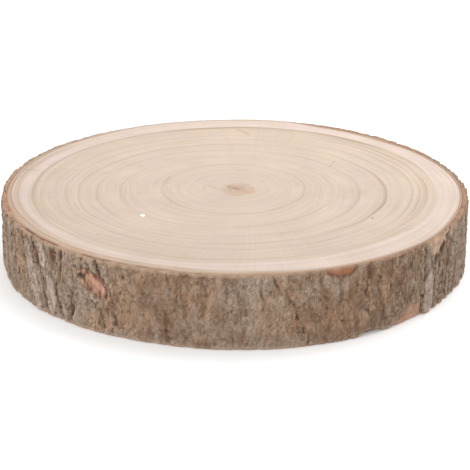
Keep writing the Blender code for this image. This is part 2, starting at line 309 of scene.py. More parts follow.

# Marks on the upper cut face: (x and y of one end, x and y of the other, half width, strength)
# in millimetres
# The crack marks are drawn as painted shade, with a small bump but no cut in the mesh
CRACK_MARKS = (
    (70.6, -47.3, 70.9, -47.2, 0.75, 0.95), (-116, 29.2, -108.6, 28.6, 0.55, 0.55),
    (63.6, 68.7, 60.2, 57.5, 0.45, 0.14), (57.2, 45.5, 53.2, 33.8, 0.6, 0.2),
    (86, -65.5, 90, -62, 0.45, 0.32), (-64.4, -59.4, -63.9, -59, 0.8, 0.3),
    (-67.8, -70.6, -67.3, -70.3, 0.8, 0.3), (44.5, -94, 45.5, -93.8, 0.5, 0.25),
)
SMUDGES = (
    (-13.6, 3, -10.6, -1.2, 1.1, 0.4), (-10.6, -1.2, -6.6, -2.6, 1, 0.28), (2.6, 103.5, 8.2, 94.4, 2.4, 0.32),
    (-52, -9, -28, -8.6, 0.8, 0.2), (-35.5, 18, -36.8, 4, 1, 0.24), (-36.8, 4, -33, -24, 0.8, 0.16),
    (2, 28.6, 7, 28.4, 1.6, 0.3), (-25, 38, -20, 40, 4, 0.12), (-71.5, 24.2, -69, 23.4, 1.3, 0.26),
    (-86, 73, -62, 96, 5, 0.1),
)

# The chalky fleck: its middle, half its size, and its rings as (share of that size, height)
FLECK_CENTRE = (-0.0468, -0.0433)
FLECK_HALF = (0.0015, 0.0017)
FLECK_RINGS = ((0.6, -0.0003), (1.0, -0.0002), (0.92, 0.00008), (0.6, 0.0002), (0.25, 0.00024))
FLECK_COLUMNS = 28

# The sawn bark: how wide it mostly is, how deep it lies, and how far its hidden edges are tucked in
SAWN_WIDTH = 0.004
INNER_BARK_DEPTH = 0.00003
OUTER_BARK_DEPTH = 0.00004
CAMBIUM_DEPTH = 0.00014
OUTER_TUCK = 0.0006
INNER_TUCK = 0.0005
RIM_CLEARANCE = 0.0004
LEAST_RIM = 0.00015
EDGE_ROUNDING = 0.00012

# What varies from place to place, by smooth noise
# (width and length of the noise's lumps, its start, middle value, spread, and the least and greatest value)
VARIATIONS = {
    "sway of the rings": (0.032, 0.014, 0.0, 0.0, 1.0),
    "strength of a ring": (0.05, 1.0, 0.4, 1.0, 0.8, 0.3, 1.5),
    "reach of the sapwood's edge": (0.045, 1.0, 2.9, 2.0, 1.6),
    "blotches of the sapwood": (0.020, 0.007, 4.4, 0.8, 0.5, 0.0, 1.0),
    "points of the pith": (0.110, 1.0, 1.3, 0.0, 0.8),
    "teeth of the pith": (0.030, 1.0, 5.1, 0.0, 0.5),
    "pits of the pith": (0.012, 0.003, 0.0, 1.0, 0.7),
    "depth of the bark's crack": (0.007, 1.0, 8.3, 0.85, 1.1, 0.3, 1.2),
    "sway of the bark's layers": (0.012, 1.0, 2.2, 0.0, 0.12),
    "sawn inner bark": (0.003, 0.001, 6.0, 0.0, 0.00005),
    "sawn outer bark": (0.0025, 0.001, 9.0, 0.0, 0.00008),
    "strength of a furrow": (0.010, 0.015, 6.0, 0.75, 1.1, 0.15, 1.25),
    "strength of a fissure": (0.006, 0.009, 16.0, 0.75, 1.2, 0.3, 1.1),
    "breaks of a dark crack": (0.0030, 0.0045, 31.0, 0.0, 1.0),
    "edge of a scar": (0.0018, 0.0030, 27.0, 0.0, 0.3),
    "strands of a scar": (0.0013, 0.0034, 21.0, 0.0, 1.0),
    "height of the pale edge": (0.0030, 0.0030, 41.0, 0.0, 0.0012),
    "strength of the tan edge": (0.003, 0.002, 33.0, 1.0, 1.0),
    "edge of the fleck": (0.08, 1.0, 4.0, 1.0, 0.5),
}

# Where something begins to show, and how much further on it is full, which is negative if that lies before it
RISES = {
    "bark crack beside the inner bark": (0.78, 0.14),
    "bark crack beside the outer bark": (0.58, 0.22),
    "line beside the wood": (0.14, -0.12),
    "dark inner bark": (0.25, 0.5),
    "tan edge of the wood": (EDGE_TAN_AGE, 2.5),
    "pith's streak": (0.0, 0.7),
    "pith's orange side": (0.0, 0.6),
    "pith's soft wood": (0.0, 0.0020),
    "stain": (1.3, -0.7),
    "proud plate": (1.1, -0.18),
    "rim slope": (1.35, -1.0),
    "dark crack": (-0.34, 0.36),
    "deep side of a scar": (-0.7, 1.4),
    "start of the splinter": (-0.60, 0.35),
    "end of the splinter": (0.92, -0.35),
    "ochre wood": (-0.15, -0.35),
    "torn wood": (1.00, -0.16),
    "shadow beside a scar": (0.2, 0.8),
    "worn rim": (0.026, 0.009),
    "pale edge": (0.0352, 0.0022),
}

# Meshes: the shares say how far across the inner bark, and how far in from the outer rim, each ring lies
BARK_COLUMNS = 1440
BARK_ROWS = 56
INNER_BARK_COLUMNS = 960
INNER_BARK_SHARES = (1.12, 1.03, 0.97, 0.88, 0.7, 0.5, 0.3, 0.12, 0.04, -0.10)
RIM_SHARES = (0.10, 0.30, 0.55, 0.70, 0.88, 1.04)
WOOD_COLUMNS = 288
PITH_GAP = 0.7
EDGE_GAP = 0.25
LINE_STEPS = (-2, -1, 0, 0.6, 1.2)
FACE_GAPS = {"lower": 3.2, "upper": 2.0}
LEAST_GAP = 0.26
WALL_INSET = 0.0006
WALL_OVERLAP = 0.0002

# The stage: (name, place, size, power in watts) of each lamp, and the camera
FLOOR_HALF = 4.0
FLOOR_LEVEL = -0.0002
FLOOR_GLOW = 0.15
SKY_STRENGTH = 0.95
LAMPS = (
    ("overhead", (0.40, 0.55, 1.15), 1.2, 10.0),
    ("front left", (-1.2, -1.4, 0.5), 1.0, 9.0),
)
CAMERA_LENS = 122.96
CAMERA_ELEVATION = math.radians(21.17)
CAMERA_DISTANCE = 0.875
CAMERA_AIM = Vector((0.0005, 0.0, 0.0104))


def a_colour(name, part, default):
    return bpy.props.FloatVectorProperty(
        name=name, description="Colour of " + part, subtype="COLOR", size=3, min=0.0, max=1.0, default=default
    )


def a_length(name, description, default):
    kind = {"subtype": "DISTANCE", "unit": "LENGTH", "precision": 5}
    return bpy.props.FloatProperty(name=name, description=description, min=0.0, default=default, **kind)


def a_number(name, description, default):
    return bpy.props.FloatProperty(name=name, description=description, min=0.0, default=default)


class WoodSliceSizes(bpy.types.PropertyGroup):
    """Sizes of what grows on the slice's outline."""

    ring_relief: a_length("Ring relief", "How far the dark latewood lines sink after sanding", 0.00005)
    pith_depth: a_length("Pith depth", "How far the soft pith sinks below the sawn face", 0.00045)
    fibre_height: a_length("Fibre height", "Height of the bark's fine upright ribs", 0.00050)
    fibre_width: a_length("Fibre width", "Width of the bark's fine upright ribs", 0.0012)
    fibre_length: a_length("Fibre length", "Length of the bark's fine upright ribs", 0.0046)
    crust_height: a_length("Crust height", "Height of the bark's crusty lumps", 0.00200)
    crust_size: a_length("Crust size", "Size of the bark's crusty lumps", 0.0033)
    pit_depth: a_length("Pit depth", "Depth of the small pits in the crust", 0.00060)
    pit_size: a_length("Pit size", "Size of the small pits in the crust", 0.0016)
    dip_depth: a_length("Dip depth", "Depth of the soft dips between the bark's lumps", 0.00055)
    dip_spacing: a_length("Dip spacing", "Distance between the soft dips", 0.0085)
    crack_depth: a_length("Crack depth", "Depth of the thin upright cracks", 0.00050)
    crack_spacing: a_length("Crack spacing", "Distance between the thin upright cracks", 0.0050)
    crumb_size: a_length("Crumb size", "Radius of the loose cork crumbs on the bark", 0.00055)
    crumb_density: a_number("Crumb density", "Cork crumbs on a square metre of rough bark", 52000.0)
    flake_size: a_length("Flake size", "Half length of the lifting bark flakes", 0.0017)
    flake_density: a_number("Flake density", "Lifting flakes on a square metre of rough bark", 17000.0)
    seed: bpy.props.IntProperty(
        name="Seed", description="Another seed scatters other crumbs and flakes", default=5
    )


class WoodSliceColours(bpy.types.PropertyGroup):
    """Colours of the slice and its stage."""

    heartwood: a_colour("Heartwood", "the inner wood", (0.555, 0.450, 0.362))
    sapwood: a_colour("Sapwood", "the outer band of wood", (0.612, 0.502, 0.440))
    latewood: a_colour("Latewood", "the dark ring lines", (0.36, 0.25, 0.165))
    pith: a_colour("Pith", "the soft centre", (0.46, 0.335, 0.258))
    pith_core: a_colour("Pith core", "the pith's dark middle", (0.27, 0.165, 0.11))
    pith_orange: a_colour("Orange pith", "the pith's fresh side", (0.53, 0.350, 0.240))
    # The crack colour is painted shade in the wood's hair cracks and its pin hole
    crack: a_colour("Crack", "the depths of the wood's hair cracks", (0.08, 0.052, 0.036))
    inner_bark: a_colour("Inner bark", "the sawn inner bark", (0.515, 0.400, 0.305))
    sawn_bark: a_colour("Sawn outer bark", "the sawn outer bark", (0.450, 0.312, 0.215))
    red_bark: a_colour("Red bark", "the red layer between the barks", (0.15, 0.062, 0.038))
    bark_brown: a_colour("Brown bark", "the weathered bark", (0.235, 0.150, 0.098))
    bark_tan: a_colour("Tan bark", "the bark's worn tan patches", (0.350, 0.220, 0.136))
    bark_grey: a_colour("Grey bark", "the bark's grey skin", (0.290, 0.222, 0.170))
    bark_green: a_colour("Green bark", "bark with a film of algae", (0.170, 0.135, 0.088))
    worn_rim: a_colour("Worn rim", "the thin pale bark at the back of the rim", (0.74, 0.66, 0.61))
    # The furrow colour is painted shade, laid in the bark's hollows, pits and cracks
    furrow: a_colour("Furrow", "the depths of the bark's furrows", (0.075, 0.048, 0.032))
    flaked: a_colour("Flaked bark", "freshly broken bark", (0.50, 0.345, 0.245))
    orange_bark: a_colour("Orange bark", "the orange inner bark", (0.332, 0.148, 0.081))
    torn_wood: a_colour("Torn wood", "the torn wood in a branch scar", (0.54, 0.295, 0.208))
    fleck: a_colour("Fleck", "the chalky fleck on the wood", (0.93, 0.90, 0.85))
    floor: a_colour("Floor", "the floor", (0.93, 0.93, 0.93))


def sizes():
    return bpy.context.scene.wood_slice_sizes


def colour_named(name):
    return tuple(getattr(bpy.context.scene.wood_slice_colours, name))


# Shape of the trunk


def smooth_step(share):
    share = np.clip(share, 0.0, 1.0)
    return share * share * (3 - 2 * share)


def shown(name, value):
    """0 up to where this entry of RISES begins, and rising smoothly to 1 where it is full."""
    start, width = RISES[name]
    return smooth_step((value - start) / width)


def bell(share):
    """1 at 0, and falling smoothly to nothing on both sides."""
    return np.exp(-(share**2))


def turned_by(angle, middle):
    """Degrees from middle to angle, the short way round."""
    return (angle - middle + 180) % 360 - 180


def arc(angle, middle):
    """Length along the trunk's outside from middle to angle."""
    return np.radians(turned_by(angle, middle)) * RADIUS


def steps_round(count):
    """This many angles round the trunk, from -180."""
    return np.arange(count) * 360.0 / count - 180


def xyz(angle, radius, height):
    turn = np.radians(angle)
    return np.stack(np.broadcast_arrays(radius * np.cos(turn), radius * np.sin(turn), height), axis=-1)


def round_trunk(table, angle):
    """Values of a table of (angle, value) at these angles, joined by smooth steps round the trunk."""
    angle = turned_by(angle, 0)
    spots, values = np.array([*table, (table[0][0] + 360.0, table[0][1])]).T
    after = np.clip(np.searchsorted(spots, angle, side="right"), 1, len(spots) - 1)
    share = (angle - spots[after - 1]) / (spots[after] - spots[after - 1])
    return values[after - 1] + (values[after] - values[after - 1]) * smooth_step(share)


def trunk_radius(angle):
    """Radius of the bark's outside at these angles, without its relief."""
    lobes = sum(height * np.cos(count * np.radians(angle - first)) for count, height, first in TRUNK_LOBES)
    return RADIUS + lobes


def cambium_radius(angle):
    """Radius at which the wood ends and the bark begins."""
    return trunk_radius(angle) - round_trunk(BARK_THICKNESS, angle) - RIM_BREAK


def noise_round(angle, height, width, length, start=0.0):
    """Smooth noise from -1 to 1 on the trunk's outside, in lumps of this width and length."""
    spots = xyz(angle, RADIUS / width, height / length) + np.array((start, 0.0, start))
    values = [noise.noise(spot) for spot in spots.reshape(-1, 3).tolist()]
    return np.array(values).reshape(spots.shape[:-1])


def varied(name, angle, height=0.0, further=0.0):
    """A value of VARIATIONS at these places on the trunk's outside, with its noise from further on."""
    width, length, start, middle, spread, *limits = VARIATIONS[name]
    value = middle + spread * noise_round(angle, height, width, length, start + further)
    return np.clip(value, *limits) if limits else value


def furrows():
    """The furrows, by walking round the trunk: (angle at mid height, slope, depth, half width, phase)."""
    draw = random.Random(FURROW_SEED)
    found = []
    for start, end, spacing, depth, lean in BARK_STRETCHES:
        step = math.degrees(spacing / RADIUS)
        angle = start + step * draw.uniform(*FIRST_FURROW)
        while angle < end:
            slope = math.tan(math.radians(lean + draw.gauss(0, FURROW_LEAN_SPREAD)))
            width = FURROW_HALF_WIDTH * draw.uniform(*WIDTH_SPREAD)
            phase = draw.uniform(0, 2 * math.pi)
            found.append((angle, slope, depth * draw.uniform(*DEPTH_SPREAD), width, phase))
            angle += step * draw.uniform(*SPACING_SPREAD)
    return found


def furrow_depth(angle, height):
    deepest = np.zeros(np.broadcast(angle, height).shape)
    for middle, slope, depth, half_width, phase in furrows():
        wander = FURROW_WANDER * np.sin(phase + FURROW_SWAY * height / THICKNESS)
        across = arc(angle, middle) + slope * (height - THICKNESS / 2) + wander
        cut = depth * bell(across / half_width)
        deepest = np.maximum(deepest, np.where(np.abs(across) < FURROW_REACH * half_width, cut, 0.0))
    return deepest


def off_run(across, up, run, rise):
    """Distance from the straight run between 0, 0 and run, rise."""
    share = np.clip((across * run + up * rise) / (run * run + rise * rise), 0.0, 1.0)
    return np.hypot(across - share * run, up - share * rise)


def run_distance(angle, height, ends, sway=0.0):
    """Distance on the trunk's outside from a straight run between two places."""
    high_angle, high, low_angle, low = ends
    return off_run(arc(angle, high_angle) + sway, height - high, arc(low_angle, high_angle), low - high)


def fissure_depth(angle, height):
    deepest = np.zeros(np.broadcast(angle, height).shape)
    sway = FISSURE_WANDER * np.sin(2 * math.pi * height / FISSURE_WAVE)
    for *ends, half_width, depth in FISSURES:
        distance = run_distance(angle, height, ends, sway)
        deepest = np.maximum(deepest, depth * bell(distance / half_width))
    return deepest


def place_axes(angle, height, place):
    """Distance along and across a scar's or plate's length, as shares of its half sizes."""
    middle, middle_height, half_width, half_height, lean, _ = place
    across = arc(angle, middle)
    up = height - middle_height
    cosine = math.cos(math.radians(lean))
    sine = math.sin(math.radians(lean))
    return (across * cosine + up * sine) / half_width, (up * cosine - across * sine) / half_height


def inside_corners(angle, height, corners):
    """Distance inside a chip's outline, in metres, below 0 outside it."""
    nearest = np.full(np.broadcast(angle, height).shape, 1.0)
    inside = np.zeros(nearest.shape, dtype=bool)
    x = arc(angle, corners[0][0])
    points = [(arc(spot, corners[0][0]), up / 1000) for spot, up in corners]
    for (x1, z1), (x2, z2) in zip(points, points[1:] + points[:1]):
        run, rise = x2 - x1, z2 - z1
        nearest = np.minimum(nearest, off_run(x - x1, height - z1, run, rise))
        crosses = (z1 > height) != (z2 > height)
        level = np.where(crosses, (height - z1) / (rise if rise else 1.0), 0.0)
        inside ^= crosses & (x < x1 + level * run)
    return np.where(inside, nearest, -nearest)


# Meshes


def as_object(name, mesh):
    made = bpy.data.objects.new(name, mesh)
    bpy.context.scene.collection.objects.link(made)
    return made


def ring_mesh(name, loops, attributes, closed):
    """A mesh of equal rings of points, each above or inside the last. loops is rings × columns × 3.

    A closed one joins the last ring to the first, and an open one gets a middle point at each end.
    """
    rings, columns, _ = loops.shape
    points = loops.reshape(-1, 3)
    first = np.arange(rings if closed else rings - 1)[:, None] * columns
    column = np.arange(columns)[None, :]
    after = (column + 1) % columns
    above = (first + columns) % (rings * columns)
    corners = np.broadcast_arrays(first + column, first + after, above + after, above + column)
    faces = np.stack(corners, axis=-1).reshape(-1, 4).tolist()
    values = {key: value.reshape(-1) for key, value in attributes.items()}
    if not closed:
        for ring, turn in ((0, -1), (rings - 1, 1)):
            middle = len(points)
            points = np.concatenate([points, [loops[ring].mean(axis=0)]])
            start = ring * columns
            for place in range(columns):
                pair = (start + place, start + (place + 1) % columns)
                faces.append((middle,) + pair[::turn])
            for key, value in attributes.items():
                values[key] = np.append(values[key], value[ring].mean())
    mesh = bpy.data.meshes.new(name)
    mesh.from_pydata(points.tolist(), [], faces)
    for key, value in values.items():
        layer = mesh.attributes.new(key, "FLOAT", "POINT")
        layer.data.foreach_set("value", value.astype(np.float32))
    mesh.polygons.foreach_set("use_smooth", [True] * len(mesh.polygons))
    mesh.update()
    return mesh


def run_nodes(source, tree, values):
    """The mesh that a Geometry Nodes tree makes of an object, as plain mesh data."""
    modifier = source.modifiers.new(tree.name, "NODES")
    modifier.node_group = tree
    for item in tree.interface.items_tree:
        if item.item_type == "SOCKET" and item.in_out == "INPUT" and item.name in values:
            modifier[item.identifier] = values[item.name]
    graph = bpy.context.evaluated_depsgraph_get()
    graph.update()
    evaluated = source.evaluated_get(graph)
    made = bpy.data.meshes.new_from_object(evaluated, preserve_all_data_layers=True, depsgraph=graph)
    source.modifiers.remove(modifier)
    return made


def finish_piece(piece, material):
    if piece.data.materials:
        piece.data.materials[0] = material
    else:
        piece.data.materials.append(material)
    if not len(piece.data.polygons):
        raise RuntimeError(piece.name + " has no faces")
    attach(piece, "root")
    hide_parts(NODE)


# Node trees


class Builder:
    """Adds nodes to one tree.

    An input is given as a plain value, as another node's output, or by the name of one of the colours.
    """

    def __init__(self, tree):
        self.tree = tree

    def add(self, kind, inputs, **settings):
        node = self.tree.nodes.new(kind)
        for name, value in settings.items():
            setattr(node, name, value)
        for name, value in inputs.items():
            if isinstance(value, bpy.types.NodeSocket):
                self.tree.links.new(value, node.inputs[name])
            else:
                node.inputs[name].default_value = value
        return node

    def maths(self, operation, *values, clamp=False):
        node = self.add("ShaderNodeMath", dict(enumerate(values)), operation=operation, use_clamp=clamp)
        return node.outputs[0]

    def times(self, first, second, clamp=False):
        return self.maths("MULTIPLY", first, second, clamp=clamp)

    def times_plus(self, first, second, added, clamp=False):
        return self.maths("MULTIPLY_ADD", first, second, added, clamp=clamp)

    def plus(self, first, second):
        return self.maths("ADD", first, second)

    def minus(self, first, second):
        return self.maths("SUBTRACT", first, second)

    def larger(self, first, second):
        return self.maths("MAXIMUM", first, second)

    def vector(self, operation, *values):
        values = [colour_named(value) if isinstance(value, str) else value for value in values]
        node = self.add("ShaderNodeVectorMath", dict(enumerate(values)), operation=operation)
        return node.outputs["Value" if operation in ("DISTANCE", "DOT_PRODUCT") else "Vector"]

    def scaled(self, vector, amount):
        """The vector or colour times an amount, which may be a pattern."""
        vector = colour_named(vector) if isinstance(vector, str) else vector
        node = self.add("ShaderNodeVectorMath", {0: vector, "Scale": amount}, operation="SCALE")
        return node.outputs["Vector"]

    def combined(self, x=0.0, y=0.0, z=0.0):
        return self.add("ShaderNodeCombineXYZ", {"X": x, "Y": y, "Z": z}).outputs[0]

    def outward(self, place):
        """The direction away from the trunk's axis."""
        return self.vector("NORMALIZE", self.vector("MULTIPLY", place, (1.0, 1.0, 0.0)))

    def noise(self, vector, detail=2.0, roughness=0.5):
        inputs = {"Vector": vector, "Scale": 1.0, "Detail": detail, "Roughness": roughness}
        return self.add("ShaderNodeTexNoise", inputs).outputs[0]

    def between(self, value, low, high, to_low=0.0, to_high=1.0, smooth=False):
        inputs = {"Value": value, "From Min": low, "From Max": high, "To Min": to_low, "To Max": to_high}
        kind = "SMOOTHSTEP" if smooth else "LINEAR"
        return self.add("ShaderNodeMapRange", inputs, interpolation_type=kind).outputs[0]

    def mix(self, share, first, second):
        pair = [(*colour_named(value), 1.0) if isinstance(value, str) else value for value in (first, second)]
        return self.add("ShaderNodeMix", {0: share, 6: pair[0], 7: pair[1]}, data_type="RGBA").outputs[2]

    def layers(self, base, *layers):
        """The base under layers of other colours: (share, colour)."""
        for share, colour in layers:
            base = self.mix(share, base, colour)
        return base

    def product(self, *shades):
        """Patterns multiplied with each other: (pattern, low, high, darkest, brightest)."""
        whole = self.between(*shades[0])
        for shade in shades[1:]:
            whole = self.times(whole, self.between(*shade))
        return whole

    def read(self, name):
        """A number that the mesh carries, in a material."""
        return self.add("ShaderNodeAttribute", {}, attribute_name=name).outputs["Fac"]


def new_material(name, colour, roughness):
    """A material with its Builder, its shader and its Object coordinates in millimetres."""
    material = bpy.data.materials.new(name)
    material.use_nodes = True
    material.diffuse_color = (*colour_named(colour), 1.0)
    shader = material.node_tree.nodes["Principled BSDF"]
    shader.inputs["Roughness"].default_value = roughness
    shader.inputs["Specular IOR Level"].default_value = 0.25
    build = Builder(material.node_tree)
    place = build.add("ShaderNodeTexCoord", {}).outputs["Object"]
    return material, build, shader, build.scaled(place, 1000.0)


def paint(build, shader, base, rough=None, bumps=None, bump_height=0.0):
    """Joins the colour to the shader, and where they are given its roughness and its bumps."""
    build.tree.links.new(base, shader.inputs["Base Color"])
    if rough is not None:
        build.tree.links.new(rough, shader.inputs["Roughness"])
    if bumps is not None:
        bump = build.add("ShaderNodeBump", {"Height": bumps, "Distance": bump_height, "Strength": 1.0})
        build.tree.links.new(bump.outputs[0], shader.inputs["Normal"])


def mark_group():
    """A node group for one straight mark: 1 in its middle and 0 outside its half width."""
    tree = bpy.data.node_groups.new("Straight mark", "ShaderNodeTree")
    for name in ("Place", "Start", "End"):
        tree.interface.new_socket(name, in_out="INPUT", socket_type="NodeSocketVector")
    for name in ("Half width", "Strength"):
        tree.interface.new_socket(name, in_out="INPUT", socket_type="NodeSocketFloat")
    tree.interface.new_socket("Mark", in_out="OUTPUT", socket_type="NodeSocketFloat")
    build = Builder(tree)
    given = build.add("NodeGroupInput", {}).outputs
    from_start = build.vector("SUBTRACT", given["Place"], given["Start"])
    run = build.vector("SUBTRACT", given["End"], given["Start"])
    along = build.vector("DOT_PRODUCT", from_start, run)
    share = build.maths("DIVIDE", along, build.vector("DOT_PRODUCT", run, run), clamp=True)
    distance = build.vector("DISTANCE", from_start, build.scaled(run, share))
    mark = build.between(build.maths("DIVIDE", distance, given["Half width"]), 1.0, 0.25, smooth=True)
    build.add("NodeGroupOutput", {"Mark": build.times(mark, given["Strength"])})
    return tree


def strongest_mark(build, group, place, table):
    """The strongest of a table of marks at each place of the upper cut face."""
    strongest = 0.0
    top = THICKNESS * 1000
    for x1, y1, x2, y2, half_width, strength in table:
        ends = {"Place": place, "Start": (x1, y1, top), "End": (x2, y2, top)}
        inputs = {**ends, "Half width": half_width, "Strength": strength}
        mark = build.add("ShaderNodeGroup", inputs, node_tree=group).outputs["Mark"]
        strongest = build.larger(strongest, mark)
    return strongest


def wood_material():
    made, build, shader, place = new_material("sawn wood", "heartwood", 0.62)
    age = build.read("age")
    direction = build.outward(place)

    # Broad patches, the fine bands within each year, the rays and the pores
    patches = build.noise(build.scaled(place, 0.035), 3.0)
    pinkness = build.noise(build.vector("ADD", build.scaled(place, 0.05), (5.0, 3.0, 1.0)), 3.0, 0.6)
    bands_place = build.vector("ADD", build.combined(build.times(age, 0.55)), build.scaled(direction, 2.0))
    bands = build.noise(bands_place, 5.0, 0.70)
    ray_place = build.vector("ADD", build.scaled(direction, 55.0), build.scaled(bands_place, 0.12))
    rays = build.noise(ray_place, 2.0, 0.6)
    pores = build.noise(build.scaled(place, 2.6), 2.0, 0.7)

    tan = build.scaled("inner_bark", 1.02)
    base = build.layers("heartwood", (build.read("sap"), "sapwood"), (build.read("tan"), tan))
    pink = build.vector("MULTIPLY", base, (1.005, 0.988, 1.015))
    yellow = build.vector("MULTIPLY", base, (1.0, 0.997, 0.965))
    base = build.mix(build.between(pinkness, 0.35, 0.65), pink, yellow)
    far_out = build.between(age, 5.0, 70.0, smooth=True)
    bands_shown = build.times(build.minus(bands, 0.49), build.between(far_out, 0.0, 0.4, 0.2, 0.54))
    rays_shown = build.times(build.minus(rays, 0.5), far_out)
    # Painted light: the face darkens towards the front left and brightens towards the back right
    painted_light_to_back_right = build.vector("DOT_PRODUCT", place, (0.6, 0.8, 0.0))
    tone = build.product(
        (patches, 0.25, 0.75, 0.95, 1.05),
        (painted_light_to_back_right, -120.0, 120.0, 0.928, 1.020),
        (pores, 0.3, 0.7, 0.955, 1.045),
    )
    tone = build.times(tone, build.plus(bands_shown, 1.0))
    base = build.scaled(base, build.times(tone, build.times_plus(rays_shown, 0.15, 1.0)))
    line = build.times(build.read("ring"), build.between(pores, 0.2, 0.8, 0.44, 0.66))
    base = build.mix(line, base, "latewood")

    # The pith
    pith = build.read("pith")
    fibres = build.between(build.noise(build.scaled(place, 0.55), 4.0, 0.75), 0.35, 0.62)
    soft = build.times(pith, build.between(fibres, 0.0, 1.0, 0.20, 0.75))
    streak = build.times(build.read("core"), build.between(fibres, 0.0, 1.0, 0.2, 0.6))
    fresh = build.times(build.read("fresh"), soft)
    base = build.layers(base, (soft, "pith"), (fresh, "pith_orange"), (streak, "pith_core"))

    # Hair cracks and the pin hole darkened with painted shade, and smudges
    shake = build.add("ShaderNodeTexNoise", {"Vector": place, "Scale": 0.8, "Detail": 2.0}).outputs["Color"]
    shaken = build.vector("ADD", place, build.scaled(build.vector("SUBTRACT", shake, (0.5, 0.5, 0.5)), 1.2))
    group = mark_group()
    smudge = strongest_mark(build, group, shaken, SMUDGES)
    crack = strongest_mark(build, group, shaken, CRACK_MARKS)
    base = build.layers(base, (smudge, "latewood"), (crack, "crack"))

    rough = build.larger(build.between(bands, 0.3, 0.7, 0.56, 0.68), build.times(pith, 0.85))
    bumps = build.minus(build.times_plus(pores, 0.5, build.times(bands, 0.5)), build.times(crack, 4.0))
    paint(build, shader, base, rough, bumps, 0.00006)
    return made


def inner_bark_material():
    made, build, shader, place = new_material("sawn inner bark", "inner_bark", 0.78)
    layer = build.read("layer")
    direction = build.outward(place)
    across = build.combined(z=build.times(layer, 7.0))
    strands = build.noise(build.vector("ADD", build.scaled(direction, 7.0), across), 4.0, 0.65)
    grain = build.noise(build.scaled(place, 2.2), 2.0, 0.7)
    patches = build.noise(build.scaled(direction, 4.0), 2.0)
    tone = build.product((strands, 0.3, 0.7, 0.72, 1.18), (grain, 0.3, 0.7, 0.93, 1.06))
    outer = build.larger(build.read("dark"), build.between(layer, 0.35, 0.8, 0.0, 0.6))
    orange = build.times(build.read("orange"), build.between(strands, 0.42, 0.56))
    orange = build.larger(orange, build.between(patches, 0.52, 0.68, 0.0, 0.3))
    line = build.times(build.read("line"), build.between(strands, 0.3, 0.6, 1.0, 0.75))
    base = build.layers(
        build.scaled("inner_bark", tone),
        (outer, "sawn_bark"),
        (orange, build.scaled("orange_bark", 1.25)),
        (line, "red_bark"),
    )
    paint(build, shader, base, bumps=build.plus(strands, grain), bump_height=0.00016)
    return made


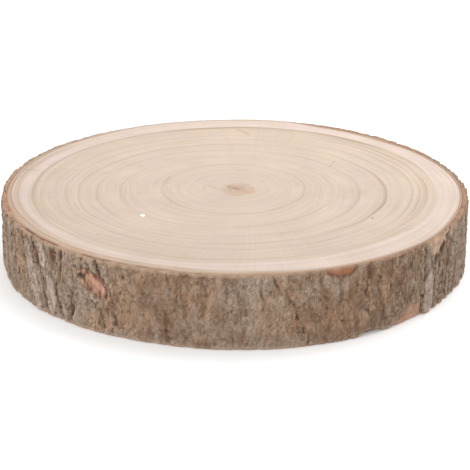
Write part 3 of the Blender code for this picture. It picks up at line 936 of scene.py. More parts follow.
def outer_bark_material():
    made, build, shader, place = new_material("outer bark", "bark_brown", 0.88)

    def pattern(wide, tall, start, detail, roughness):
        """Noise in patches of this width and height, in millimetres."""
        spot = build.vector("MULTIPLY", place, (1 / wide, 1 / wide, 1 / tall))
        return build.noise(build.vector("ADD", spot, (start, start, start)), detail, roughness)

    fibres = pattern(1.1, 6.5, 0.0, 4.0, 0.65)
    mottle = pattern(5.5, 8.0, 3.0, 5.0, 0.68)
    stains = pattern(5.0, 12.0, 9.0, 5.0, 0.66)
    patches = pattern(19.0, 26.0, 5.0, 3.0, 0.55)
    grains = pattern(0.6, 0.8, 1.0, 3.0, 0.75)
    specks = pattern(1.4, 1.7, 7.0, 2.0, 0.6)
    pitted = build.read("pitted")
    hollow = build.read("hollow")
    bare = build.read("bare")
    scar = build.read("scar")

    # Brown bark under a broken grey skin, worn tan in places and greened by algae in others
    grey = build.times_plus(build.minus(patches, 0.5), 2.4, build.read("grey"))
    grey = build.times_plus(build.minus(mottle, 0.5), 3.0, grey)
    grey = build.times_plus(hollow, -0.35, grey, clamp=True)
    tan = build.times(build.read("tan"), build.between(mottle, 0.34, 0.58))
    worn = build.between(stains, 0.50, 0.64, 0.0, 0.75, smooth=True)
    worn = build.larger(build.times(worn, build.between(grey, 0.9, 0.3)), tan)
    green = build.between(stains, 0.62, 0.40, 0.0, 1.0, smooth=True)
    green = build.times(green, build.read("green"), clamp=True)
    plate = build.times(build.read("plate"), build.between(mottle, 0.3, 0.6, 0.5, 0.95))
    pale_grey = build.vector("MULTIPLY", "bark_grey", (1.26, 1.27, 1.36))
    coats = ((grey, "bark_grey"), (worn, "bark_tan"), (green, "bark_green"), (plate, pale_grey))
    base = build.layers("bark_brown", *coats)
    umber = build.times(build.read("umber"), build.between(mottle, 0.62, 0.42, 0.35, 1.0))
    base = build.mix(umber, base, build.vector("MULTIPLY", base, (0.60, 0.455, 0.36)))

    # The fine patterns, with painted light where the bark stands above its near surroundings and painted
    # shade where it lies below them
    tone = build.product(
        (fibres, 0.3, 0.7, 0.85, 1.15),
        (grains, 0.3, 0.7, 0.70, 1.30),
        (mottle, 0.3, 0.7, 0.80, 1.20),
        (pitted, -1.0, 1.0, 1.25, 0.72),
    )
    base = build.scaled(base, tone)

    # Freshly broken places
    warm = build.read("warmth")
    patchy = build.times_plus(warm, warm, build.between(mottle, 0.32, 0.48, 0.45, 1.0), clamp=True)
    fresh = build.scaled(build.mix(warm, "flaked", "orange_bark"), tone)
    base = build.mix(build.times(bare, patchy), base, fresh)

    # Painted shade in the hollows and pits, and pale scuffs on the ridges
    deep = build.between(hollow, 0.15, 1.35, 0.0, 0.80, smooth=True)
    deep = build.times(deep, build.between(build.larger(bare, scar), 0.0, 1.0, 1.0, 0.1))
    pit = build.between(pitted, 0.9, 2.2, 0.0, 0.5, smooth=True)
    scuff = build.times(build.product((specks, 0.62, 0.74), (hollow, 0.2, -0.4)), 0.45)
    base = build.layers(base, (deep, "furrow"), (pit, "furrow"), (scuff, "inner_bark"))

    # Torn wood in the branch scars, in short strands with painted light and shade across them, and the cracks
    # darkened with painted shade
    strands = build.times_plus(build.read("strand"), 0.55, pattern(1.5, 3.0, 2.0, 4.0, 0.75))
    strands = build.plus(strands, build.read("lit"))
    ochre = build.times(build.read("ochre"), build.between(strands, 0.10, 0.60))
    torn = build.layers(
        "red_bark",
        (build.between(strands, 0.25, 0.85), "torn_wood"),
        (build.between(mottle, 0.52, 0.64, 0.0, 0.35), "flaked"),
        (ochre, build.scaled("bark_tan", 1.20)),
    )
    base = build.layers(base, (scar, torn), (build.times(build.read("crack"), 0.82), "furrow"))

    # The sawn edge of the bark on both cut faces
    orange = build.read("orange")
    spots = build.times(orange, build.between(mottle, 0.47, 0.38, 0.0, 1.5))
    spots = build.times(spots, build.between(specks, 0.60, 0.50))
    orange = build.times(orange, build.between(specks, 0.40, 0.60, 0.2, 1.0))
    tone = build.product((grains, 0.3, 0.7, 0.84, 1.16), (mottle, 0.3, 0.7, 0.80, 1.18))
    sawn = build.layers(
        build.scaled("sawn_bark", tone),
        (build.read("dark"), "bark_brown"),
        (build.between(stains, 0.48, 0.36, 0.0, 0.7), "bark_brown"),
        (orange, build.scaled("orange_bark", 1.35)),
        (spots, build.scaled("bark_brown", 0.7)),
        (build.times(build.read("line"), 0.95), "red_bark"),
    )
    pale = build.times(build.read("pale"), build.between(mottle, 0.3, 0.6, 0.55, 0.95))
    edge = build.scaled("worn_rim", build.between(grains, 0.3, 0.7, 0.95, 1.05))
    base = build.layers(base, (build.read("sawn"), sawn), (pale, edge))
    rough = build.between(grains, 0.3, 0.7, 0.82, 0.95)
    paint(build, shader, base, rough, build.times_plus(grains, 0.8, fibres), 0.0005)
    return made


def crumb_material():
    made, build, shader, place = new_material("cork crumbs", "bark_brown", 0.9)
    shade = build.read("shade")
    light = build.times(build.between(shade, 0.94, 0.98), 0.6)
    base = build.layers("bark_brown", (shade, "bark_grey"), (light, "bark_tan"))
    grains = build.noise(build.scaled(place, 2.0), 2.0, 0.7)
    base = build.scaled(base, build.between(grains, 0.25, 0.75, 0.7, 1.2))
    paint(build, shader, base, bumps=grains, bump_height=0.0002)
    return made


def plain_material(name, colour, roughness, grain_scale, shades):
    """One colour, made uneven between two shades of it."""
    made, build, shader, place = new_material(name, colour, roughness)
    grain = build.noise(build.scaled(place, grain_scale), 2.0)
    paint(build, shader, build.scaled(colour, build.between(grain, 0.3, 0.7, *shades)))
    return made, shader


def new_geometry_tree(name, inputs):
    """A Geometry Nodes tree with these inputs, as (name, socket type, default), and one for its material."""
    tree = bpy.data.node_groups.new(name, "GeometryNodeTree")
    tree.interface.new_socket("Geometry", in_out="INPUT", socket_type="NodeSocketGeometry")
    for label, kind, default in inputs:
        tree.interface.new_socket(label, in_out="INPUT", socket_type=kind).default_value = default
    tree.interface.new_socket("Material", in_out="INPUT", socket_type="NodeSocketMaterial")
    tree.interface.new_socket("Geometry", in_out="OUTPUT", socket_type="NodeSocketGeometry")
    build = Builder(tree)
    return tree, build, build.add("NodeGroupInput", {}).outputs


def finish_tree(build, geometry, material):
    real = build.add("GeometryNodeRealizeInstances", {"Geometry": geometry}).outputs[0]
    painted = build.add("GeometryNodeSetMaterial", {"Geometry": real, "Material": material}).outputs[0]
    build.add("NodeGroupOutput", {"Geometry": painted})


def named(build, name):
    """A number that the mesh carries, inside a Geometry Nodes tree."""
    return build.add("GeometryNodeInputNamedAttribute", {"Name": name}, data_type="FLOAT").outputs[0]


def keep(build, geometry, name, value, domain="POINT"):
    inputs = {"Geometry": geometry, "Name": name, "Value": value}
    kind = "GeometryNodeStoreNamedAttribute"
    return build.add(kind, inputs, data_type="FLOAT", domain=domain).outputs[0]


# The lengths in WoodSliceSizes that shape the bark's fine relief
RELIEF_LENGTHS = ("Fibre height", "Fibre width", "Fibre length", "Crust height", "Crust size", "Pit depth")
RELIEF_LENGTHS += ("Pit size", "Dip depth", "Dip spacing", "Crack depth", "Crack spacing")


def fine_relief_tree():
    """Pushes the bark in and out along the trunk's radius: ribs, crusty lumps, pits and thin cracks."""
    lengths = [(name, "NodeSocketFloat", 0.001) for name in RELIEF_LENGTHS]
    tree, build, given = new_geometry_tree("Fine bark relief", lengths)
    place = build.add("GeometryNodeInputPosition", {}).outputs[0]

    def lumps(width, longer, start, detail, roughness):
        """Noise about 0 in lumps of this width, and so many times longer upwards."""
        wide = build.maths("DIVIDE", 1.0, width)
        tall = build.maths("DIVIDE", 1.0, build.times(width, longer))
        spot = build.vector("MULTIPLY", place, build.combined(wide, wide, tall))
        spot = build.vector("ADD", spot, (start, start, start))
        return build.minus(build.noise(spot, detail, roughness), 0.5)

    longer = build.maths("DIVIDE", given["Fibre length"], given["Fibre width"])
    fibres = lumps(given["Fibre width"], longer, 2.0, 3.0, 0.6)
    crust = lumps(given["Crust size"], 1.3, 7.0, 5.0, 0.68)
    dip = build.maths("ABSOLUTE", lumps(given["Dip spacing"], 1.6, 17.0, 4.0, 0.6))
    dip = build.between(dip, 0.045, 0.0, smooth=True)
    pit = build.between(lumps(given["Pit size"], 1.5, 11.0, 2.0, 0.5), 0.08, 0.22, smooth=True)
    pit = build.times(pit, build.between(crust, 0.08, -0.08))
    crack = build.maths("ABSOLUTE", lumps(given["Crack spacing"], 5.0, 4.0, 2.0, 0.6))
    crack = build.between(crack, 0.018, 0.003, smooth=True)
    crack = build.times(crack, build.between(lumps(given["Crust size"], 3.0, 1.0, 2.0, 0.5), -0.02, 0.1))
    crack = build.times(crack, named(build, "cracked"))

    push = build.times(fibres, given["Fibre height"])
    push = build.times_plus(crust, given["Crust height"], push)
    for sunk, depth in ((pit, "Pit depth"), (dip, "Dip depth"), (crack, "Crack depth")):
        push = build.minus(push, build.times(sunk, given[depth]))
    push = build.times(push, named(build, "rough"))
    marked = keep(build, given["Geometry"], "relief", build.plus(named(build, "relief"), push))
    # The crack mark holds the thin cracks and the crevice shade, and the material paints both dark as painted
    # shade
    marked = keep(build, marked, "crack", build.larger(crack, named(build, "crevice")))
    # How far each point lies below its near and its wider surroundings, which the material uses for painted
    # shade in pits and hollows, painted light on bumps, and less grey skin in hollows
    for name, steps, depth in (("pitted", 5, 0.00022), ("hollow", 40, 0.00080)):
        level = named(build, "relief")
        blur = {"Value": level, "Iterations": steps}
        around = build.add("GeometryNodeBlurAttribute", blur, data_type="FLOAT").outputs[0]
        below = build.minus(around, level)
        marked = keep(build, marked, name, build.maths("DIVIDE", below, depth))
    offset = build.scaled(build.outward(place), push)
    moved = build.add("GeometryNodeSetPosition", {"Geometry": marked, "Offset": offset}).outputs[0]
    finish_tree(build, moved, given["Material"])
    return tree


def crumb_tree():
    """Scatters small flattened lumps over the bark, half sunk in it."""
    tree, build, given = new_geometry_tree(
        "Bark crumbs",
        (
            ("Density", "NodeSocketFloat", 10000.0),
            ("Size", "NodeSocketFloat", 0.0005),
            ("Least share", "NodeSocketVector", (0.5, 0.5, 0.3)),
            ("Greatest share", "NodeSocketVector", (1.0, 1.0, 0.5)),
            ("Turn", "NodeSocketFloat", 3.14),
            ("Seed", "NodeSocketInt", 1),
        ),
    )
    seed = given["Seed"]

    def drawn(least, greatest, further):
        """A random number for each crumb, from a seed that lies further on."""
        inputs = {2: least, 3: greatest, "Seed": build.plus(seed, further)}
        return build.add("FunctionNodeRandomValue", inputs, data_type="FLOAT").outputs[1]

    density = build.times(given["Density"], named(build, "crumbly"))
    spread = {"Mesh": given["Geometry"], "Density": density, "Seed": seed}
    scatter = build.add("GeometryNodeDistributePointsOnFaces", spread).outputs
    lump = build.add("GeometryNodeMeshUVSphere", {"Segments": 7, "Rings": 4, "Radius": 1.0}).outputs[0]
    limits = {0: given["Least share"], 1: given["Greatest share"], "Seed": seed}
    shares = build.add("FunctionNodeRandomValue", limits, data_type="FLOAT_VECTOR").outputs[0]
    places = {"Points": scatter["Points"], "Instance": lump, "Rotation": scatter["Rotation"]}
    places["Scale"] = build.scaled(shares, given["Size"])
    placed = build.add("GeometryNodeInstanceOnPoints", places).outputs[0]
    about = build.combined(z=drawn(build.times(given["Turn"], -1.0), given["Turn"], 1.0))
    turned = build.add("GeometryNodeRotateInstances", {"Instances": placed, "Rotation": about}).outputs[0]
    marked = keep(build, turned, "shade", drawn(0.0, 1.0, 2.0), "INSTANCE")
    smooth = build.add("GeometryNodeSetShadeSmooth", {"Geometry": marked}).outputs[0]
    finish_tree(build, smooth, given["Material"])
    return tree


# Pieces


def ring_outline(age, angle):
    """x and y of the growth rings of these ages at these angles."""
    ages, *drifts = zip(*RING_DRIFT)
    centre_x, centre_y, stretch = (np.interp(age, ages, drift) for drift in drifts)
    mean = age / 1000
    sway = RING_SWAY * smooth_step(age / FULL_SWAY_AGE) * varied("sway of the rings", angle, mean)
    cosine, sine = np.cos(np.radians(angle)), np.sin(np.radians(angle))
    x = centre_x + (mean * (1 + stretch) + sway) * cosine
    y = centre_y + (mean * (1 - stretch) + sway) * sine
    to_edge = smooth_step((age - HEARTWOOD_AGE) / (LAST_AGE - HEARTWOOD_AGE))
    edge = cambium_radius(angle) * age / LAST_AGE
    return x * (1 - to_edge) + edge * cosine * to_edge, y * (1 - to_edge) + edge * sine * to_edge


def ring_ages(gap):
    """Ages of the mesh's rings, nearest the centre first: close by each dark line and in the pith."""
    wanted = list(np.arange(0.6, PITH_AGE, PITH_GAP))
    for age, _, width in sorted(RINGS + tuple(row[:3] for row in RING_ACCENTS)):
        wanted += [age + step * width for step in LINE_STEPS]
    kept = [wanted[0]]
    for age in sorted(wanted)[1:] + [LAST_AGE - EDGE_GAP, LAST_AGE]:
        steps = int((age - kept[-1]) // gap)
        for step in range(1, steps + 1):
            kept.append(kept[-1] + (age - kept[-1]) / (steps + 2 - step))
        if age - kept[-1] > LEAST_GAP:
            kept.append(age)
    return np.array(kept)


def ring_lines(age, angle):
    """How dark the ring lines are here: a slow rise from inside, and a quick fall outside."""
    dark = np.zeros(np.broadcast(age, angle).shape)
    lines = [(*row, 0.0, None) for row in RINGS] + list(RING_ACCENTS)
    for number, (middle, strength, width, middle_angle, stretch) in enumerate(lines):
        off = (age - middle) / np.where(age < middle, width, RING_FALL * width)
        line = strength * varied("strength of a ring", angle, further=3.7 * number)
        if stretch:
            line = line * smooth_step(1.5 - np.abs(turned_by(angle, middle_angle)) / stretch)
        # The year darkens slowly towards its line
        late = LATEWOOD_SHARE * np.exp((age - middle) / LATEWOOD_REACH) * (age < middle)
        dark = np.maximum(dark, line * np.maximum(bell(off), late))
    return dark


def sapwood_share(age, angle):
    """How much the pale outer band shows: it starts sharply in places and fades in over others."""
    inside = smooth_step((age - HEARTWOOD_AGE + 0.2) / varied("reach of the sapwood's edge", angle))
    return inside * varied("blotches of the sapwood", angle, age / 1000)


def pith_shares(x, y):
    """How much of the soft pith, of its dark streak and of its orange side is at x and y."""
    over, up = x - PITH_CENTRE[0], y - PITH_CENTRE[1]
    angle = np.degrees(np.arctan2(up, over))
    points = varied("points of the pith", angle) + varied("teeth of the pith", angle)
    soft = shown("pith's soft wood", PITH_RADIUS * (1 + 0.34 * points) - np.hypot(over, up))
    over, up = x - STREAK_CENTRE[0], y - STREAK_CENTRE[1]
    along, athwart = over * 0.72 - up * 0.69, over * 0.69 + up * 0.72
    streak = np.hypot(along / STREAK_HALF[0], athwart / STREAK_HALF[1])
    orange = np.hypot((x - ORANGE_CENTRE[0]) / ORANGE_HALF[0], (y - ORANGE_CENTRE[1]) / ORANGE_HALF[1])
    core = shown("pith's streak", 1.25 + 0.5 * points - streak)
    return soft, core, shown("pith's orange side", 1.2 + 0.6 * points - orange)


def make_cut_wood():
    angle = steps_round(WOOD_COLUMNS)
    loops, ages = [], []

    def add_face(gap, height, up):
        age = ring_ages(gap)[:, None]
        if up > 0:
            age = age[::-1]
        x, y = ring_outline(age, angle)
        pitted = varied("pits of the pith", angle, age / 1000)
        sunk = sizes().ring_relief * ring_lines(age, angle)
        sunk = sunk + sizes().pith_depth * pith_shares(x, y)[0] * pitted
        edge = EDGE_ROUNDING * smooth_step((age - LAST_AGE + 0.6) / 0.6)
        loops.extend(np.stack([x, y, height - up * (sunk + edge)], axis=-1))
        ages.extend(age[:, 0])

    add_face(FACE_GAPS["lower"], 0.0, -1)
    for height in (WALL_INSET, THICKNESS - WALL_INSET):
        loops.append(xyz(angle, cambium_radius(angle) + WALL_OVERLAP, height))
        ages.append(LAST_AGE)
    add_face(FACE_GAPS["upper"], THICKNESS, 1)
    loops = np.array(loops)
    age = np.array(ages)[:, None] + np.zeros(len(angle))
    soft, core, fresh = pith_shares(loops[..., 0], loops[..., 1])
    attributes = {
        "age": age,
        "ring": ring_lines(age, angle),
        "sap": sapwood_share(age, angle),
        "tan": shown("tan edge of the wood", age) * round_trunk(EDGE_TAN, angle),
        "pith": soft,
        "core": core,
        "fresh": fresh,
    }
    piece = as_object("cut_wood", ring_mesh("cut_wood", loops, attributes, closed=False))
    finish_piece(piece, wood_material())


def crack_line(angle):
    """Depth of the crack between inner and outer bark, which is open in places."""
    return round_trunk(BARK_CRACK, angle) * varied("depth of the bark's crack", angle)


def layer_radius(angle):
    """Radius at which the inner bark ends and the outer bark begins."""
    share = round_trunk(OUTER_BARK_SHARE, angle)
    sway = varied("sway of the bark's layers", angle)
    return cambium_radius(angle) + round_trunk(BARK_THICKNESS, angle) * (1 - share + sway * (1 - share))


def make_inner_bark():
    angle = steps_round(INNER_BARK_COLUMNS)
    inside, outside = cambium_radius(angle), layer_radius(angle)
    crack = crack_line(angle)
    # Where the outer bark's rim is broken off, the inner bark ends sooner too
    relief, _ = bark_shape(angle, np.array([[0.0], [THICKNESS]]))
    low_limit, high_limit = trunk_radius(angle) + relief - RIM_BREAK - RIM_CLEARANCE
    layer, line, loops = [], [], []
    for up, height, limit in ((1, THICKNESS, high_limit), (-1, 0.0, low_limit)):
        for share in INNER_BARK_SHARES[::up]:
            radius = np.minimum(inside + (outside - inside) * share, limit)
            near_crack = shown("bark crack beside the inner bark", share)
            near_wood = shown("line beside the wood", share)
            uneven = varied("sawn inner bark", angle, share * SAWN_WIDTH, up)
            sunk = INNER_BARK_DEPTH + crack * near_crack + CAMBIUM_DEPTH * near_wood - uneven
            sunk = sunk + OUTER_TUCK * (share > 1.1) + INNER_TUCK * (share < 0)
            loops.append(xyz(angle, radius, height - up * sunk))
            layer.append(np.full(len(angle), share))
            line.append(np.clip(near_crack * crack / CRACK_FULL_LINE + 0.6 * near_wood, 0, 1))
    dark = shown("dark inner bark", np.cos(np.radians(angle + 5))) * 0.6
    attributes = {"layer": np.array(layer), "line": np.array(line)}
    for name, values in (("dark", dark), ("orange", round_trunk(RIM_ORANGE, angle))):
        attributes[name] = np.broadcast_to(values, (len(loops), len(angle)))
    mesh = ring_mesh("inner_bark", np.array(loops), attributes, closed=True)
    finish_piece(as_object("inner_bark", mesh), inner_bark_material())


def bark_shape(angle, height):
    """The bark's relief and its marks on a grid of angles and heights of the trunk's outside."""
    swell = SWELL_HEIGHT * noise_round(angle, height, SWELL_LENGTH, 2 * SWELL_LENGTH)
    strength = varied("strength of a furrow", angle, height)
    # The fine growth bends the lines of everything
    bent_angle, bent_height = angle, height
    for number, (push, width, length) in enumerate(RAGGEDNESS):
        across = push * noise_round(angle, height, width, length, 3.0 + number)
        bent_angle = bent_angle + np.degrees(across / RADIUS)
        bent_height = bent_height + push * noise_round(angle, height, width, length, 13.0 + number)
    bent = (bent_angle, bent_height)
    worn = varied("strength of a fissure", angle, height)
    relief = swell - np.maximum(furrow_depth(*bent) * strength, worn * fissure_depth(*bent))
    names = ("plate", "bare", "warmth", "scar", "strand", "lit", "ochre", "crevice", "umber", "tan")
    marks = {name: np.zeros(relief.shape) for name in names}
    marks["grey"] = marks["umber"] + round_trunk(BARK_GREY, angle)
    marks["green"] = marks["umber"] + round_trunk(BARK_GREEN, angle)

    def raise_to(name, values):
        marks[name] = np.maximum(marks[name], values)

    for tone, places in BARK_STAINS.items():
        for place in places:
            distance = np.hypot(*place_axes(*bent, place))
            raise_to(tone, place[-1] * shown("stain", distance))
    for place in PROUD_PLATES:
        share = shown("proud plate", np.hypot(*place_axes(*bent, place)))
        raise_to("plate", share)
        relief = relief - place[-1] * share
    for middle, reach, rise, depth in RIM_SLOPES:
        share = shown("rim slope", np.abs(turned_by(bent_angle, middle)) / reach)
        relief = relief - depth * np.clip(1 - height / (rise * share + 0.00001), 0, 1)
    for corners, depth, warmth, bareness in CHIPS:
        inside = inside_corners(*bent, corners)
        share = smooth_step(inside / CHIP_EDGE + 0.5)
        relief = relief * (1 - 0.7 * share) - depth * share
        marks["warmth"] = np.where(share * bareness > marks["bare"], warmth, marks["warmth"])
        raise_to("bare", share * bareness)
        # Painted shade in a dark line along the chip's edge
        raise_to("crevice", 0.6 * warmth * bell(inside / CHIP_SHADE_WIDTH))
    # Painted shade along the thin dark cracks, except where they break off
    broken = shown("dark crack", varied("breaks of a dark crack", angle, height))
    for *ends, half_width, strength in DARK_CRACKS:
        gap = strength * bell(run_distance(*bent, ends) / half_width) * broken
        relief = relief - DARK_CRACK_DEPTH * gap
        raise_to("crevice", gap)
    for place in BRANCH_SCARS:
        along, athwart = place_axes(*bent, place)
        distance = np.hypot(along, athwart) + varied("edge of a scar", angle, height)
        hollow = smooth_step((SCAR_END - distance) / (SCAR_END - SCAR_FULL))
        lip = SCAR_LIP * bell((distance - LIP_MIDDLE) / LIP_HALF_WIDTH)
        plain, furrowed = SCAR_PLAIN
        relief = relief * smooth_step((distance - plain) / (furrowed - plain))
        strand = varied("strands of a scar", angle, height)
        sunk = hollow * (0.35 + 0.65 * shown("deep side of a scar", athwart))
        relief = relief + place[-1] * (lip - sunk) + 0.0007 * strand * hollow
        # A splinter along its middle, its pale wood brightened by a painted highlight, with painted shade on
        # the wood above it, and ochre wood below and at its end
        splinter = bell((athwart - 0.04) / 0.36) * shown("start of the splinter", along)
        splinter = splinter * shown("end of the splinter", along)
        ochre = np.maximum(shown("ochre wood", athwart), shown("ochre wood", along))
        lit = 0.70 * splinter - 0.40 + 0.10 * ochre
        for name, values in (("strand", strand), ("lit", lit), ("ochre", ochre)):
            marks[name] = np.where(distance < 1.2, values, marks[name])
        raise_to("scar", shown("torn wood", distance))
        raise_to("crevice", bell((distance - 1.02) / 0.12) * shown("shadow beside a scar", athwart - along))
    return np.maximum(relief, LEAST_BARK - round_trunk(BARK_THICKNESS, angle)), marks


def make_outer_bark():
    angle = steps_round(BARK_COLUMNS)
    drop = RIM_BREAK_DROP
    low_edge = [0.0, 0.12 * drop, 0.4 * drop, drop]
    between = np.linspace(drop, THICKNESS - drop, BARK_ROWS - 6)[1:-1]
    heights = np.array(low_edge + list(between) + [THICKNESS - edge for edge in low_edge[::-1]])[:, None]
    relief, marks = bark_shape(angle, heights)
    to_face = np.minimum(heights, THICKNESS - heights)
    worn = np.clip(1 - to_face / drop, 0, 1)
    thin = round_trunk(WORN_RIM, angle) * shown("worn rim", heights)
    relief = relief + thin * (0.0001 - 0.7 * relief)
    draw_in = RIM_BREAK * (1 - np.sqrt(1 - worn**2)) * (1 - 0.8 * thin)
    radius = trunk_radius(angle) + relief - draw_in
    whole = (1 - marks["bare"]) * (1 - marks["scar"])
    roughness = round_trunk(BARK_ROUGHNESS, angle)
    torn = heights + varied("height of the pale edge", angle, heights)
    spread = round_trunk(TAN_EDGE, angle) * varied("strength of the tan edge", angle, heights)
    marks["relief"] = relief
    marks["rough"] = roughness * (0.35 + 0.65 * whole) * (1 - 0.8 * thin) * (1 - 0.4 * marks["plate"])
    marks["pale"] = thin * shown("pale edge", torn)
    marks["cracked"] = whole * np.clip((roughness - 0.45) * 1.6, 0, 1)
    marks["crumbly"] = whole * roughness * (to_face > CRUMB_FREE_RIM) * (1 - np.clip(marks["crevice"], 0, 1))
    marks["sawn"] = np.clip((worn - 0.12) / 0.5, 0, 1) * np.clip(spread, 0, 1)
    marks["line"] = np.zeros(radius.shape)
    marks["orange"] = np.broadcast_to(round_trunk(RIM_ORANGE, angle), radius.shape)
    rows = {name: list(values) for name, values in marks.items()}
    loops = list(xyz(angle, radius, heights))
    layer, crack = layer_radius(angle), crack_line(angle)

    def add_rim(edge_row, shares, height, up):
        edge = radius[edge_row]
        inner = np.minimum(layer, edge - LEAST_RIM)
        for share in shares:
            near_crack = shown("bark crack beside the outer bark", share)
            uneven = varied("sawn outer bark", angle, share * SAWN_WIDTH, up)
            sunk = OUTER_BARK_DEPTH + crack * near_crack + uneven + OUTER_TUCK * (share > 1)
            loops.append(xyz(angle, edge + (inner - edge) * share, height - up * sunk))
            fade = (1 - min(share, 1.0)) ** 2
            carried = {"rough": fade, "cracked": fade, "relief": 1.0, "pale": 1.0, "orange": 1.0}
            for name, values in rows.items():
                values.append(values[edge_row] * carried.get(name, 0.0))
            rows["sawn"][-1] = np.full(len(angle), min(1.0, share / 0.12))
            rows["line"][-1] = np.clip(near_crack * crack / CRACK_FULL_LINE, 0, 1)

    add_rim(len(heights) - 1, RIM_SHARES, THICKNESS, 1)
    add_rim(0, RIM_SHARES[::-1], 0.0, -1)
    # The ring at each rim's middle runs on into the next rim, so the inner wall needs no ring of its own
    rows["dark"] = [0.25 + 0.20 * np.cos(np.radians(angle + 10))] * len(loops)
    attributes = {name: np.array(values) for name, values in rows.items()}
    piece = as_object("outer_bark", ring_mesh("outer_bark", np.array(loops), attributes, closed=True))
    material = outer_bark_material()
    values = {name: getattr(sizes(), name.lower().replace(" ", "_")) for name in RELIEF_LENGTHS}
    piece.data = run_nodes(piece, fine_relief_tree(), {**values, "Material": material})
    finish_piece(piece, material)


def make_bark_crumbs():
    bark = bpy.data.objects["outer_bark"]
    tree = crumb_tree()
    material = crumb_material()
    given = sizes()
    # (density, size, least and greatest share of it, turn either way, seed)
    kinds = {
        "bark_crumbs": (
            given.crumb_density, given.crumb_size, (0.45, 0.45, 0.25), (1.2, 1.2, 0.6), math.pi, given.seed
        ),
        "bark_flakes": (
            given.flake_density, given.flake_size, (0.25, 0.5, 0.10), (0.5, 1.3, 0.2), 0.35, given.seed + 10
        ),
    }
    for name, values in kinds.items():
        inputs = dict(zip(("Density", "Size", "Least share", "Greatest share", "Turn", "Seed"), values))
        mesh = run_nodes(bark, tree, {**inputs, "Material": material})
        mesh.name = name
        finish_piece(as_object(name, mesh), material)


def make_fleck():
    """The one chalky fleck that lies on the upper cut face."""
    angle = steps_round(FLECK_COLUMNS) + 180
    ragged = varied("edge of the fleck", angle)
    loops = []
    for share, height in FLECK_RINGS:
        x = FLECK_CENTRE[0] + FLECK_HALF[0] * share * ragged * np.cos(np.radians(angle))
        y = FLECK_CENTRE[1] + FLECK_HALF[1] * share * ragged * np.sin(np.radians(angle))
        loops.append(np.stack([x, y, np.full(len(angle), THICKNESS + height)], axis=-1))
    mesh = ring_mesh("chalky_fleck", np.array(loops), {}, closed=False)
    material, _ = plain_material("chalky fleck", "fleck", 0.7, 3.0, (0.9, 1.05))
    finish_piece(as_object("chalky_fleck", mesh), material)


def make_stage():
    scene = bpy.context.scene
    mesh = bpy.data.meshes.new("floor")
    corners = [(x * FLOOR_HALF, y * FLOOR_HALF, FLOOR_LEVEL) for x, y in ((-1, -1), (1, -1), (1, 1), (-1, 1))]
    mesh.from_pydata(corners, [], [(0, 1, 2, 3)])
    floor = as_object("floor", mesh)
    material, shader = plain_material("floor", "floor", 0.9, 0.01, (0.997, 1.003))
    shader.inputs["Emission Color"].default_value = (1.0, 1.0, 1.0, 1.0)
    shader.inputs["Emission Strength"].default_value = FLOOR_GLOW
    floor.data.materials.append(material)

    world = bpy.data.worlds.new("studio")
    world.use_nodes = True
    sky = world.node_tree.nodes["Background"].inputs
    sky["Color"].default_value = (1.0, 1.0, 1.0, 1.0)
    sky["Strength"].default_value = SKY_STRENGTH
    scene.world = world
    for name, place, size, power in LAMPS:
        data = bpy.data.lights.new(name, "AREA")
        data.size = size
        data.energy = power
        lamp = as_object(name, data)
        lamp.location = place
        lamp.rotation_euler = (-Vector(place)).to_track_quat("-Z", "Y").to_euler()

    data = bpy.data.cameras.new("camera")
    data.lens = CAMERA_LENS
    data.sensor_width = 36.0
    data.clip_start = 0.01
    camera = as_object("camera", data)
    away = Vector((0.0, -math.cos(CAMERA_ELEVATION), math.sin(CAMERA_ELEVATION)))
    camera.location = CAMERA_AIM + CAMERA_DISTANCE * away
    camera.rotation_euler = (math.pi / 2 - CAMERA_ELEVATION, 0.0, 0.0)
    scene.camera = camera
    scene.view_settings.view_transform = "Standard"


class Maker:
    """What the operators share: each runs its own function."""

    bl_options = {"REGISTER", "UNDO"}

    def execute(self, context):
        self.make()
        return {"FINISHED"}


class WOODSLICE_OT_cut_wood(Maker, bpy.types.Operator):
    """Make the sawn wood with its growth rings and pith"""

    bl_idname = "wood_slice.cut_wood"
    bl_label = "Cut wood"
    make = staticmethod(make_cut_wood)


class WOODSLICE_OT_inner_bark(Maker, bpy.types.Operator):
    """Make the ring of inner bark"""

    bl_idname = "wood_slice.inner_bark"
    bl_label = "Inner bark"
    make = staticmethod(make_inner_bark)


class WOODSLICE_OT_outer_bark(Maker, bpy.types.Operator):
    """Make the furrowed outer bark"""

    bl_idname = "wood_slice.outer_bark"
    bl_label = "Outer bark"
    make = staticmethod(make_outer_bark)


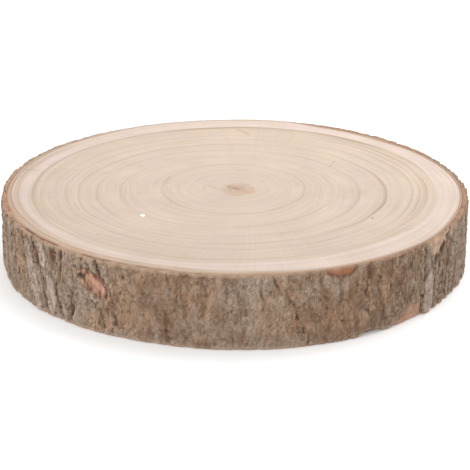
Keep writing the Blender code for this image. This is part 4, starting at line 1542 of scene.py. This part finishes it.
class WOODSLICE_OT_bark_crumbs(Maker, bpy.types.Operator):
    """Scatter crumbs and flakes over the outer bark"""

    bl_idname = "wood_slice.bark_crumbs"
    bl_label = "Bark crumbs"
    make = staticmethod(make_bark_crumbs)


class WOODSLICE_OT_fleck(Maker, bpy.types.Operator):
    """Lay the chalky fleck on the upper cut face"""

    bl_idname = "wood_slice.fleck"
    bl_label = "Fleck"
    make = staticmethod(make_fleck)


class WOODSLICE_OT_stage(Maker, bpy.types.Operator):
    """Make the floor, the lights and the camera"""

    bl_idname = "wood_slice.stage"
    bl_label = "Stage"
    make = staticmethod(make_stage)


OPERATORS = (
    WOODSLICE_OT_cut_wood,
    WOODSLICE_OT_inner_bark,
    WOODSLICE_OT_outer_bark,
    WOODSLICE_OT_bark_crumbs,
    WOODSLICE_OT_fleck,
    WOODSLICE_OT_stage,
)


class VIEW3D_PT_wood_slice(bpy.types.Panel):
    """Lists what can be made, and the sizes and colours it is made with."""

    bl_label = "Wood slice"
    bl_space_type = "VIEW_3D"
    bl_region_type = "UI"
    bl_category = "Wood slice"

    def draw(self, context):
        for kind in OPERATORS:
            self.layout.operator(kind.bl_idname)
        for group in (context.scene.wood_slice_sizes, context.scene.wood_slice_colours):
            box = self.layout.box()
            for name in group.bl_rna.properties.keys():
                if name not in ("rna_type", "name"):
                    box.prop(group, name)


CLASSES = (WoodSliceSizes, WoodSliceColours, *OPERATORS, VIEW3D_PT_wood_slice)


def register():
    for kind in CLASSES:
        bpy.utils.register_class(kind)
    bpy.types.Scene.wood_slice_sizes = bpy.props.PointerProperty(type=WoodSliceSizes)
    bpy.types.Scene.wood_slice_colours = bpy.props.PointerProperty(type=WoodSliceColours)


def unregister():
    del bpy.types.Scene.wood_slice_colours
    del bpy.types.Scene.wood_slice_sizes
    for kind in reversed(CLASSES):
        bpy.utils.unregister_class(kind)


def main():
    register()
    bpy.ops.wood_slice.cut_wood()
    bpy.ops.wood_slice.inner_bark()
    bpy.ops.wood_slice.outer_bark()
    bpy.ops.wood_slice.bark_crumbs()
    bpy.ops.wood_slice.fleck()
    bpy.ops.wood_slice.stage()


if __name__ == "__main__":
    main()
